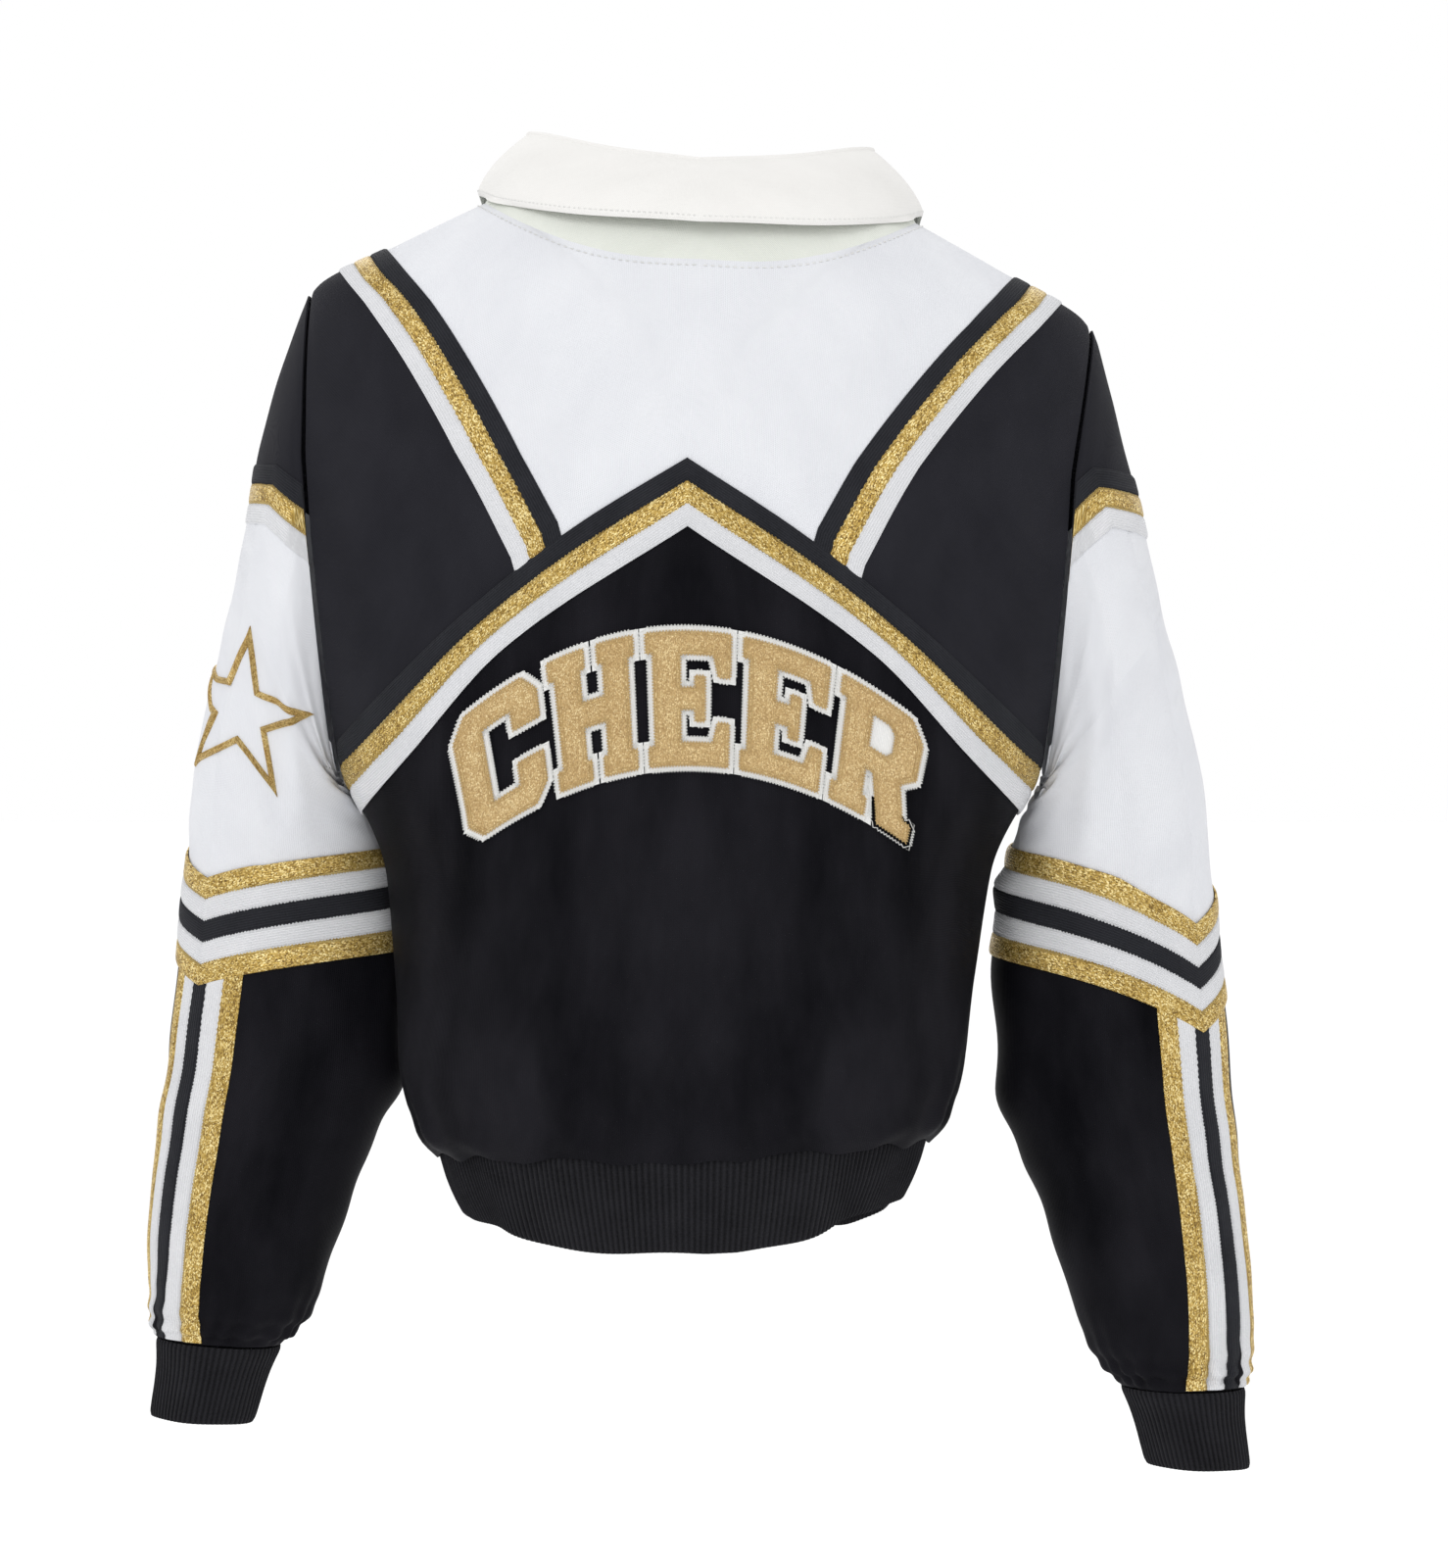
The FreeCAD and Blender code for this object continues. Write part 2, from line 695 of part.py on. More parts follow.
def ring_blocks(low_place, high_place, inner, outer, rows):
    """Closed sleeve ring between two curves place(turn), broken at the outseam."""
    blocks = []
    for part in range(4):
        start = OUTSEAM + 90.0 * part
        turns = [start + 90.0 * index / 8.0 for index in range(9)]
        low_line = [(turn, low_place(turn)) for turn in turns]
        high_line = [(turn, high_place(turn)) for turn in turns]
        blocks.append(layer(on_sleeve, fill(low_line, high_line, rows), inner, outer))
    return blocks


def away(turn):
    """0 at the outseam and 1 at the opposite, inner side of the sleeve."""
    return abs((turn - OUTSEAM + 180.0) % 360.0 - 180.0) / 180.0


def cap_line(turn):
    """Lower edge of the cap: a peak at the outseam, running down beside the armhole to the underarm."""
    turn = (turn + 180.0) % 360.0 - 180.0
    if turn >= OUTSEAM:
        share = min(1.0, (turn - OUTSEAM) / (95.0 - OUTSEAM))
    else:
        share = min(1.0, (OUTSEAM - turn) / (95.0 + OUTSEAM))
    return 1.22 - 0.90 * share


def cap_top(turn):
    return cap_line(turn) - 0.16


def cap_bottom(turn):
    return cap_line(turn) + 0.16


def elbow_line(turn):
    return 5.34 - 0.28 * math.sin(math.pi * 0.5 * away(turn))


def elbow_top(turn):
    return elbow_line(turn) - 0.24


def elbow_bottom(turn):
    return elbow_line(turn) + 0.24


cloth_pair("sleeve_cap", ring_blocks(lambda t: 0.03, lambda t: cap_line(t) - 0.01, *CLOTH, 4), True)
cloth_pair("sleeve_head", ring_blocks(lambda t: cap_line(t) + 0.01, lambda t: FOLD_OVAL - 0.02, *CLOTH, 4), True)

# The cap braid runs over the top of the sleeve and ends where it meets the armhole.
CAP_BRAID_TURNS = [-70.0 + 158.0 * index / 24.0 for index in range(25)]
cap_braid_low = [(turn, cap_top(turn)) for turn in CAP_BRAID_TURNS]
cap_braid_high = [(turn, cap_bottom(turn)) for turn in CAP_BRAID_TURNS]
cloth_pair("sleeve_cap_braid", [layer(on_sleeve, fill(cap_braid_low, cap_braid_high, 6), *TRIM)])
cloth_pair("upper_sleeve", ring_blocks(lambda t: FOLD_OVAL + 0.02, lambda t: elbow_line(t) - 0.005, *CLOTH, 12), True)
cloth_pair("elbow_braid", ring_blocks(elbow_top, elbow_bottom, *TRIM, 4), True)
cloth_pair("lower_sleeve", ring_blocks(lambda t: elbow_line(t) + 0.005, lambda t: LAST_OVAL, *CLOTH, 16), True)

outseam_low = []
outseam_high = []
for index in range(15):
    place = 5.62 + (LAST_OVAL - 0.1 - 5.62) * index / 14.0
    half = sleeve_curves.at(place)[3]
    spread = math.degrees(24.0 / half)
    outseam_low.append((OUTSEAM - spread, place))
    outseam_high.append((OUTSEAM + spread, place))
cloth_pair("outseam_braid", [layer(on_sleeve, fill(outseam_low, outseam_high, 6), *TRIM)])


def star_corner(radius, index):
    """(turn, place) of one star corner, laid flat round the star's centre."""
    ratio = 1.0 if index % 2 == 0 else num("star_ratio")
    angle = math.radians(98.0 + 36.0 * index)
    x = radius * ratio * math.cos(angle)
    z = radius * ratio * math.sin(angle)
    turn, place = num("star_turn"), num("star_place")
    d_turn = sleeve_at(turn + 0.5, place) - sleeve_at(turn - 0.5, place)
    d_place = sleeve_at(turn, place + 0.05) - sleeve_at(turn, place - 0.05)
    # Local upright frame: up along the sleeve and across it, both in the cloth.
    across = FreeCAD.Vector(d_turn)
    across.z = 0.0
    across.normalize()
    if across.x < 0:
        across = across * -1
    det = d_turn.dot(across) * d_place.z - d_place.dot(across) * d_turn.z
    turn_step = (x * d_place.z - d_place.dot(across) * z) / det
    place_step = (d_turn.dot(across) * z - x * d_turn.z) / det
    return turn + turn_step, place + 0.1 * place_step


star_blocks = []
for index in range(10):
    rim = [star_corner(num("star_radius"), corner) for corner in (index, index + 1)]
    core = [star_corner(num("star_radius") * num("star_line"), corner) for corner in (index, index + 1)]
    rim_line = fill([rim[0]], [rim[1]], 6)
    core_line = fill([core[0]], [core[1]], 6)
    grid = fill([point[0] for point in core_line], [point[0] for point in rim_line], 3)
    star_blocks.append(layer(on_sleeve, grid, *TRIM))
cloth("sleeve_star", star_blocks, True)

# ------------------------------------------------------- bound solids: helpers


def bind(obj, prop, expression):
    obj.setExpression(prop, expression)


def oval(name, prefix, index, grow, tilted):
    """Oval section bound to its row of the sheet."""
    ring = doc.addObject("Part::Ellipse", name)
    cell = "Dims.%s_%%s_%d" % (prefix, index)
    if tilted:
        turned = FreeCAD.Rotation(FreeCAD.Vector(0, -1, 0), 10.0)
        ring.Placement = FreeCAD.Placement(FreeCAD.Vector(), turned)
        bind(ring, "MajorRadius", cell % "half" + " + " + grow)
        bind(ring, "MinorRadius", cell % "depth" + " + " + grow)
        bind(ring, "Placement.Base.x", cell % "across")
        bind(ring, "Placement.Base.y", cell % "forward")
        bind(ring, "Placement.Base.z", cell % "height")
        bind(ring, "Placement.Rotation.Angle", cell % "tilt" + " * 1deg")
        return ring
    bind(ring, "MajorRadius", cell % "half" + " + " + grow)
    bind(ring, "MinorRadius", "(%s + %s) / 2 + %s" % (cell % "back", cell % "front", grow))
    bind(ring, "Placement.Base.y", "(%s - %s) / 2" % (cell % "back", cell % "front"))
    bind(ring, "Placement.Base.z", cell % "height")
    return ring


def loft(name, prefix, count, grow, tilted):
    solid = doc.addObject("Part::Loft", name)
    solid.Sections = [oval("%s_oval_%d" % (name, index), prefix, index, grow, tilted) for index in range(count)]
    solid.Solid = True
    solid.Ruled = False
    return solid


def cut(name, base, tool):
    result = doc.addObject("Part::Cut", name)
    result.Base = base
    result.Tool = tool
    return result


def fuse(name, shapes):
    result = doc.addObject("Part::MultiFuse", name)
    result.Shapes = shapes
    return result


def box(name, corner, size):
    """Box bound to expressions for its low corner and its size."""
    solid = doc.addObject("Part::Box", name)
    for prop, expression in zip(("Length", "Width", "Height"), size):
        bind(solid, prop, expression)
    for axis, expression in zip("xyz", corner):
        bind(solid, "Placement.Base." + axis, expression)
    return solid


# --------------------------------------------------------- cuffs and waistband

cuff_skin = loft("cuff_skin", "cuff", len(CUFF_ROWS), "0", True)
cuff_inside = loft("cuff_inside", "cuff", len(CUFF_ROWS), "-Dims.rib_thick", True)
cuff_left = keep("cuff_left", cut("cuff_solid", cuff_skin, cuff_inside))
mirror_of("cuff_right", cuff_left)

waist_skin = loft("waist_skin", "waist", len(WAIST_ROWS), "0", False)
waist_inside = loft("waist_inside", "waist", len(WAIST_ROWS), "-Dims.rib_thick", False)
waist_ring = cut("waist_ring", waist_skin, waist_inside)
front_corner = ("-Dims.front_opening", "-Dims.reach", "-2 * Dims.reach")
front_slot = box("front_slot", front_corner, ("2 * Dims.front_opening", "Dims.reach", "3 * Dims.reach"))
keep("waistband", cut("waistband_solid", waist_ring, front_slot))

# --------------------------------------------------------------------- letters

LETTER_BARS = {
    # left, low, wide and high as shares of the letter's width and height
    "c": ((0.0, 0.0, 0.3, 1.0), (0.0, 0.82, 1.0, 0.18), (0.0, 0.0, 1.0, 0.18), (0.7, 0.6, 0.3, 0.4), (0.7, 0.0, 0.3, 0.38)),
    "h": ((0.0, 0.0, 0.3, 1.0), (0.7, 0.0, 0.3, 1.0), (0.0, 0.41, 1.0, 0.18)),
    "e": ((0.0, 0.0, 0.3, 1.0), (0.0, 0.82, 1.0, 0.18), (0.0, 0.41, 0.8, 0.18), (0.0, 0.0, 1.0, 0.18)),
    "r": ((0.0, 0.0, 0.3, 1.0), (0.0, 0.82, 1.0, 0.18), (0.0, 0.41, 1.0, 0.18), (0.7, 0.41, 0.3, 0.59), (0.6, 0.0, 0.32, 0.45)),
}


def back_patch(name, inner, outer):
    """Smooth slab on the middle of the back, from which applique is cut."""
    low_line = [(turn_of(-138.0 + 276.0 * index / 20.0, -350.0), -350.0) for index in range(21)]
    high_line = [(turn_of(-138.0 + 276.0 * index / 20.0, -200.0), -200.0) for index in range(21)]
    patch = doc.addObject("Part::Feature", name)
    patch.Shape = thin_solid([layer(on_torso, fill(low_line, high_line, 12), inner, outer)])
    return patch


def letter_prism(name, glyph, slot, border):
    """Fused bars of one letter, standing on the arch; slot 0 is its crown."""
    bars = []
    for index, (left, low, wide, high) in enumerate(LETTER_BARS[glyph]):
        corner = (
            "(%s - 0.5) * Dims.letter_wide - %s" % (left, border),
            "-Dims.reach",
            "%s * Dims.letter_high - %s" % (low, border),
        )
        size = (
            "%s * Dims.letter_wide + 2 * %s" % (wide, border),
            "Dims.reach",
            "%s * Dims.letter_high + 2 * %s" % (high, border),
        )
        bars.append(box("%s_bar_%d" % (name, index), corner, size))
    letter = fuse(name, bars)
    # Read from behind, the word starts at the wearer's left (+X), so every
    # letter is turned to face backwards and then leaned with the arch.
    facing = FreeCAD.Rotation(FreeCAD.Vector(0, 0, 1), 180)
    lean = FreeCAD.Rotation(FreeCAD.Vector(0, 1, 0), -slot * num("letter_lean"))
    letter.Placement = FreeCAD.Placement(FreeCAD.Vector(), lean.multiply(facing))
    bind(letter, "Placement.Base.x", "%d * Dims.letter_pitch" % -slot)
    bind(letter, "Placement.Base.z", "Dims.letter_base - %d * Dims.arch_drop" % (slot * slot))
    return letter


def common(name, base, tool):
    result = doc.addObject("Part::Common", name)
    result.Base = base
    result.Tool = tool
    return result


letter_slab = back_patch("letter_slab", *LETTER)
backing_slab = back_patch("backing_slab", *TRIM)
WORD = (
    ("letter_c", "c", -2),
    ("letter_h", "h", -1),
    ("letter_e_first", "e", 0),
    ("letter_e_second", "e", 1),
    ("letter_r", "r", 2),
)
borders = []
for node, glyph, slot in WORD:
    keep(node, common(node + "_solid", letter_slab, letter_prism(node + "_prism", glyph, slot, "0")))
    borders.append(letter_prism(node + "_border", glyph, slot, "Dims.letter_border"))
keep("lettering_backing", common("lettering_backing_solid", backing_slab, fuse("border_prism", borders)))

# ---------------------------------------------------------------------- zipper
# Every zipper piece is drawn upright at the top of the centre front line and
# then leaned with it: x across, y inwards, z down from the top of the run.

RUN = "(Dims.zip_top - Dims.zip_bottom)"


def on_front(solid):
    """Lean a zipper piece with the centre front, at the top of the run."""
    lean = FreeCAD.Rotation(FreeCAD.Vector(1, 0, 0), num("zip_lean"))
    solid.Placement = FreeCAD.Placement(FreeCAD.Vector(), lean)
    bind(solid, "Placement.Base.y", "Dims.zip_front")
    bind(solid, "Placement.Base.z", "Dims.zip_top")
    return solid


def zip_strip(node, corner, size):
    """One box of the zipper, held in a fusion that takes the lean."""
    half_length = "(%s) / 2" % size[2]
    upper_corner = (corner[0], corner[1], "%s + %s" % (corner[2], half_length))
    lower = box(node + "_lower", corner, (size[0], size[1], half_length))
    upper = box(node + "_upper", upper_corner, (size[0], size[1], half_length))
    joined = fuse(node + "_solid", [lower, upper])
    joined.Refine = True
    return on_front(joined)


tape_size = ("Dims.tape_outer - Dims.tape_inner", "Dims.tape_thick", RUN + " + 8")
left = keep("zipper_tape_left", zip_strip("tape", ("Dims.tape_inner", "Dims.tape_depth", "-%s - 11" % RUN), tape_size))
mirror_of("zipper_tape_right", left)
coil_corner = ("Dims.coil_inner", "Dims.coil_depth", "-" + RUN)
left = keep("zipper_teeth_left", zip_strip("coil", coil_corner, ("Dims.coil_width", "Dims.coil_thick", RUN)))
mirror_of("zipper_teeth_right", left)
stop_corner = ("Dims.coil_inner", "Dims.coil_depth", "0.6")
left = keep("zipper_top_stop_left", zip_strip("stop", stop_corner, ("Dims.coil_width", "Dims.coil_thick", "3")))
mirror_of("zipper_top_stop_right", left)
keep("zipper_bottom_box", zip_strip("bottom", ("-3.4", "-0.6", "-%s - 12" % RUN), ("6.8", "3.8", "11")))

long = "Dims.slider_length"
plate = box("slider_plate", ("-Dims.slider_half", "-2.6", "-" + long), ("2 * Dims.slider_half", "2.4", long))
web = box("slider_web_box", ("-Dims.slider_web", "-1", "-" + long), ("2 * Dims.slider_web", "6.4", long))
rear = box("slider_rear", ("-Dims.slider_half + 0.8", "4.8", "-" + long), ("2 * Dims.slider_half - 1.6", "1.2", long))
lug = box("slider_lug", ("-1", "-6.6", "-7"), ("2", "4.4", "5"))
slider_block = fuse("slider_block", [plate, web, rear, lug])
across = FreeCAD.Rotation(FreeCAD.Vector(0, 1, 0), 90)
bore = doc.addObject("Part::Cylinder", "slider_bore")
bore.Height = 20
bore.Placement = FreeCAD.Placement(FreeCAD.Vector(-10, 0, -4.5), across)
bind(bore, "Radius", "Dims.lug_bore")
bind(bore, "Placement.Base.y", "-Dims.pin_out")
keep("zipper_slider", on_front(cut("zipper_slider_solid", slider_block, bore)))

pin = doc.addObject("Part::Cylinder", "pull_pin")
pin.Height = 4.6
pin.Placement = FreeCAD.Placement(FreeCAD.Vector(-2.3, 0, -4.5), across)
bind(pin, "Radius", "Dims.pin_radius")
bind(pin, "Placement.Base.y", "-Dims.pin_out")
arm_y = "-Dims.pin_out - Dims.pull_thick / 2"
arm_left = box("pull_arm_left", ("1.4", arm_y, "-11.5"), ("1.2", "Dims.pull_thick", "8"))
arm_right = box("pull_arm_right", ("-2.6", arm_y, "-11.5"), ("1.2", "Dims.pull_thick", "8"))
tab_corner = ("-Dims.pull_half", arm_y, "-4.5 - Dims.pull_length")
tab = box("pull_tab", tab_corner, ("2 * Dims.pull_half", "Dims.pull_thick", "Dims.pull_length - 6"))
keep("zipper_pull", on_front(fuse("zipper_pull_solid", [pin, arm_left, arm_right, tab])))

# -------------------------------------------------------------- write pieces

doc.recompute()

problems = []
for obj in doc.Objects:
    if "Invalid" in obj.State or "Error" in obj.State:
        problems.append("%s: %s" % (obj.Name, obj.State))
for node, obj in nodes.items():
    shape = obj.Shape
    if shape.isNull() or not shape.isValid() or not shape.Solids:
        problems.append("%s: no valid solid" % node)
if problems:
    raise RuntimeError("\n".join(problems))

for node, obj in nodes.items():
    obj.Shape.exportStep("parts/%s.step" % node)
    solids = obj.Shape.Solids
    print("%-26s %d solid(s) %10.1f mm3" % (node, len(solids), sum(s.Volume for s in solids)))
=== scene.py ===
import functools
import itertools
import json
import math

import bmesh
import bpy
import numpy as np
from mathutils import Matrix, Vector

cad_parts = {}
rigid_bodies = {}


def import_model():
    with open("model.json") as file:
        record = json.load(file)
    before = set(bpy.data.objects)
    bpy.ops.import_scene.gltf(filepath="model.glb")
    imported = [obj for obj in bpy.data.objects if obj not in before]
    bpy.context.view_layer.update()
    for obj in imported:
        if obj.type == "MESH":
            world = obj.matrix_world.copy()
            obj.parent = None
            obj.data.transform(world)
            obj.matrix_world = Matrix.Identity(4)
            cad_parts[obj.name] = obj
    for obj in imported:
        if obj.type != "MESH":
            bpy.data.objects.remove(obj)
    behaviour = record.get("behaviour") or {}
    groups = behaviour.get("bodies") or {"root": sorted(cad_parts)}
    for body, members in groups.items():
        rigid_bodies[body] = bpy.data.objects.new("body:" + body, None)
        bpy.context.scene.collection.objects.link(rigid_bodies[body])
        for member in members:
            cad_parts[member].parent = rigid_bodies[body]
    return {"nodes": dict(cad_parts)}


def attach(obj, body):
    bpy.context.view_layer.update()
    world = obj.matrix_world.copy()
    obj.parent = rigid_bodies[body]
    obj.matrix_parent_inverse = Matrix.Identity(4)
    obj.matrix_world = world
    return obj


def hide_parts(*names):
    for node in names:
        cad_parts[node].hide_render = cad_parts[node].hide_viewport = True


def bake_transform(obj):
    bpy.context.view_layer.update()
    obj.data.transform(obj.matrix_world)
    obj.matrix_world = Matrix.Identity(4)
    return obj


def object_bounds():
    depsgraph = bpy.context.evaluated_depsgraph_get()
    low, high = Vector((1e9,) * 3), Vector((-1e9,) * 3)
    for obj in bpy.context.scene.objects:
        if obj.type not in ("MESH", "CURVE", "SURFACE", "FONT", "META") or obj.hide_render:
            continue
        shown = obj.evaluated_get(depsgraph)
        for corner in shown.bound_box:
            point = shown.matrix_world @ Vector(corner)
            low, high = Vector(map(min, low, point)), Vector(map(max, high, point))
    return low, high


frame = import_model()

cad_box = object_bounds()
rng = np.random.default_rng(7)
MM = 0.001
SIDES = ((1, "left"), (-1, "right"))
HALVES = (("back", True), ("front", False))

# ---- shape tables (mm)

# Body: height, half width, depth of the back and depth of the front, from the neck down to the hem.

TORSO = np.array((
    (6.0, 96.0, 65.0, 56.0), (0.0, 108.0, 68.0, 60.0), (-25.0, 156.0, 80.0, 76.0), (-50.0, 200.0, 90.0, 91.0),
    (-78.0, 214.0, 98.0, 104.0), (-110.0, 221.0, 104.0, 103.4), (-165.0, 222.0, 110.0, 102.5),
    (-225.0, 211.0, 112.0, 101.4), (-282.0, 187.0, 110.0, 100.5), (-345.0, 157.0, 106.0, 99.4),
    (-400.0, 151.0, 103.0, 98.4), (-445.0, 148.0, 100.0, 97.7), (-472.0, 143.0, 97.0, 97.2),
    (-488.0, 133.0, 91.0, 96.9), (-494.0, 127.0, 87.0, 96.8),
))
# The same for the waistband.
WAIST = np.array(((-494.8, 127.0, 87.0, 98.2), (-520.0, 121.0, 83.0, 97.8), (-546.0, 113.0, 79.0, 97.4)))
# Left sleeve: across, height, forward, half width, half depth and tilt in degrees, at places 0, 1, 2...
SLEEVE = np.array((
    (194.0, -172.5, 0.0, 121.0, 54.0, 85.5), (204.2, -208.0, 0.0, 92.0, 52.0, 78.0),
    (212.0, -249.0, -5.0, 60.0, 48.0, 60.4), (214.0, -285.0, -14.0, 51.0, 43.0, 34.4),
    (215.5, -320.0, -23.0, 53.0, 40.0, 13.6), (213.8, -357.0, -30.0, 57.5, 39.0, 2.0),
    (218.5, -449.0, -32.0, 62.5, 38.0, 1.0), (231.5, -502.0, -32.0, 55.0, 35.0, 1.0),
    (242.5, -553.0, -32.0, 48.5, 32.0, 1.0), (248.5, -587.0, -32.0, 42.5, 30.0, 2.0),
    (255.0, -604.0, -32.0, 33.0, 27.0, 2.0),
))
CUFF = np.array((
    (255.1, -605.0, -32.0, 33.0, 28.0, 2.0), (258.5, -622.0, -32.0, 29.5, 25.5, 1.0),
    (263.5, -646.0, -32.0, 27.5, 24.0, 1.0),
))
# Seams as (x, height) points of the left half; the right half is the mirror image.
LINES = {
    "v_inner": ((61.5, -173.5), (89.0, -125.0), (124.0, -74.0), (162.0, -29.0)),
    "v_middle": ((72.5, -199.0), (99.5, -135.0), (135.0, -82.0), (174.0, -35.5)),
    "v_outer": ((85.0, -191.5), (110.0, -144.5), (146.0, -90.0), (186.0, -42.0)),
    "chevron_top": ((0.0, -135.0), (58.0, -172.0), (112.0, -214.0), (180.0, -276.0)),
    "chevron_middle": ((0.0, -152.0), (72.5, -199.0), (127.5, -248.0), (181.0, -296.0)),
    "chevron_bottom": ((0.0, -169.0), (92.0, -231.0), (143.0, -285.0), (172.0, -314.0)),
}
ARMHOLE_TOP = (201.5, -51.0)
ARMHOLE_LEAN = 0.0788
NECK = (109.0, 84.0, 99.0)  # half width, depth of the back, depth of the front
# Collar: turn, x, y and z of its roll and of its free edge.
ROLL = np.array((
    (90.0, 0.0, 62.0, 15.0), (60.0, 45.0, 53.0, 20.0), (30.0, 77.0, 31.0, 28.0), (0.0, 88.0, -2.0, 32.0),
    (-30.0, 78.0, -40.0, 20.0), (-60.0, 46.0, -78.0, -14.0), (-86.5, 7.0, -97.0, -50.0),
))
EDGE = np.array((
    (90.0, 0.0, 87.0, -16.0), (60.0, 62.0, 76.0, -13.5), (30.0, 101.5, 41.0, -6.0), (0.0, 115.0, -3.0, 2.0),
    (-30.0, 110.0, -56.0, -20.0), (-60.0, 84.0, -97.0, -66.0), (-86.5, 52.0, -108.0, -112.0),
))
FRONT_OPENING = 6.0
OUTSEAM = 42.0
HEM = -494.0
SPLIT_X = 40.0  # where the yoke's inner part meets its outer part
JUNCTION_X = LINES["v_middle"][0][0]
RIDGE_X = LINES["v_middle"][-1][0]
CHEVRON_END_X = LINES["chevron_middle"][-1][0]


def smooth(keys, values, at):
    """Monotone cubic curve through (key, value) pairs, for an array of keys."""
    keys = np.asarray(keys, float)
    values = np.asarray(values, float)
    if keys[0] > keys[-1]:
        keys, values = keys[::-1], values[::-1]
    at = np.clip(np.asarray(at, float), keys[0], keys[-1])
    span = np.diff(keys)
    slope = np.diff(values) / span
    tangent = np.empty(len(keys))
    tangent[0], tangent[-1] = slope[0], slope[-1]
    product = slope[:-1] * slope[1:]
    total = slope[:-1] + slope[1:]
    safe = np.where(np.abs(total) < 1e-12, 1.0, total)
    tangent[1:-1] = np.where(product > 0, 2 * product / safe, 0.0)
    low = np.clip(np.searchsorted(keys, at, side="right") - 1, 0, len(keys) - 2)
    h = span[low]
    f = (at - keys[low]) / h
    start = (1 + 2 * f) * (1 - f) ** 2 * values[low] + f * (1 - f) ** 2 * h * tangent[low]
    return start + f * f * (3 - 2 * f) * values[low + 1] + f * f * (f - 1) * h * tangent[low + 1]


def columns(table, at):
    return [smooth(table[:, 0], table[:, i], at) for i in range(1, table.shape[1])]


def eased(share):
    """A share clipped to 0 to 1 and eased at both ends."""
    share = np.clip(share, 0, 1)
    return share * share * (3 - 2 * share)


NOISE_FALLOFF = 0.55
USUAL_SHARE = 0.55  # usual height of a sum of waves, as a share of the most that it can reach


def wave_noise(x, y, seed, size, octaves=3):
    """Smooth seeded noise of about -1 to 1 from sums of slanted waves."""
    local = np.random.default_rng(seed)
    total = np.zeros_like(np.asarray(x, float) + np.asarray(y, float))
    weight = 0.0
    for octave in range(octaves):
        gain = NOISE_FALLOFF ** octave
        for _ in range(4):
            angle = local.uniform(0, 2 * math.pi)
            pitch = size * gain * local.uniform(0.8, 1.3)
            phase = local.uniform(0, 2 * math.pi)
            reach = x * math.cos(angle) + y * math.sin(angle)
            total = total + gain * np.sin(reach * 2 * math.pi / pitch + phase)
            weight += gain * USUAL_SHARE
    return total / weight


def crease(x, z, start, end, width, depth):
    """A soft ridge (or a valley, for a negative depth) along a line, fading at both ends."""
    a, b = np.array(start, float), np.array(end, float)
    d = b - a
    length = np.hypot(*d)
    along = ((x - a[0]) * d[0] + (z - a[1]) * d[1]) / length ** 2
    off = np.abs((x - a[0]) * d[1] - (z - a[1]) * d[0]) / length
    fade = eased(1.25 - np.abs(along - 0.5) * 2)
    return depth * fade * np.exp(-(off / width) ** 2)


# ---- cloth surfaces (mm)

# Creases of the body seen from behind: start, end, half width and height, mm.
BACK_CREASES = (
    ((70, -432), (66, -484), 5, 2.2), ((84, -470), (62, -490), 5, 2.0), ((33, -470), (24, -492), 5, 2.4),
    ((-80, -425), (-66, -480), 6, 2.2), ((-36, -462), (-44, -492), 5, 2.0),
    ((112, -455), (100, -490), 6, 2.4), ((-108, -448), (-98, -490), 6, 2.2),
    ((4, -466), (10, -492), 6, 1.8), ((150, -300), (90, -352), 10, 1.6),
    ((-150, -300), (-96, -345), 10, 1.6), ((140, -348), (92, -392), 9, 1.2),
    ((-142, -352), (-100, -400), 9, 1.2), ((120, -28), (178, -66), 7, -1.0),
    ((-120, -28), (-178, -66), 7, -1.0), ((170, -120), (158, -250), 9, 1.2),
    ((-170, -120), (-158, -250), 9, 1.2),
)
FRONT_CREASES = (
    ((60, -440), (56, -488), 6, 2.2), ((-72, -430), (-64, -488), 6, 2.2),
    ((104, -452), (96, -490), 6, 2.2), ((-112, -446), (-100, -490), 6, 2.2),
    ((150, -300), (100, -352), 10, 1.4), ((-150, -300), (-100, -352), 10, 1.4),
    ((28, -462), (30, -490), 5, 1.6), ((-30, -456), (-28, -490), 5, 1.6),
)


def torso_base(turn, height):
    half, back, front = columns(TORSO, height)
    angle = np.radians(turn)
    depth = np.where(turn >= 0, back, front)
    return np.stack([half * np.cos(angle), depth * np.sin(angle), height + 0 * angle], -1)


def torso_folds(point, turn, height):
    x, z = point[..., 0], height
    low = np.clip((-430.0 - z) / 62.0, 0, 1) ** 1.6
    around = np.radians(turn) * 118.0
    gather = 1.5 * np.sin(around / 5.1 + 1.3 * np.sin(around / 23.0))
    gather = gather + 1.6 * wave_noise(around, z * 0.2, 5, 34, 2)
    lift = low * gather * np.clip((z - HEM) / 9.0, 0.1, 1)
    calm = np.clip((-45.0 - z) / 60.0, 0.15, 1)
    lift = lift + calm * 1.1 * wave_noise(x, z * 0.7 + np.where(turn >= 0, 0, 500), 11, 150, 3)
    for creases, side in ((BACK_CREASES, turn > 0), (FRONT_CREASES, turn < 0)):
        for start, end, width, depth in creases:
            lift = lift + np.where(side, crease(x, z, start, end, width, depth), 0)
    near_front = np.clip((np.abs(turn + 90.0)) / 8.0, 0, 1)
    return lift * near_front


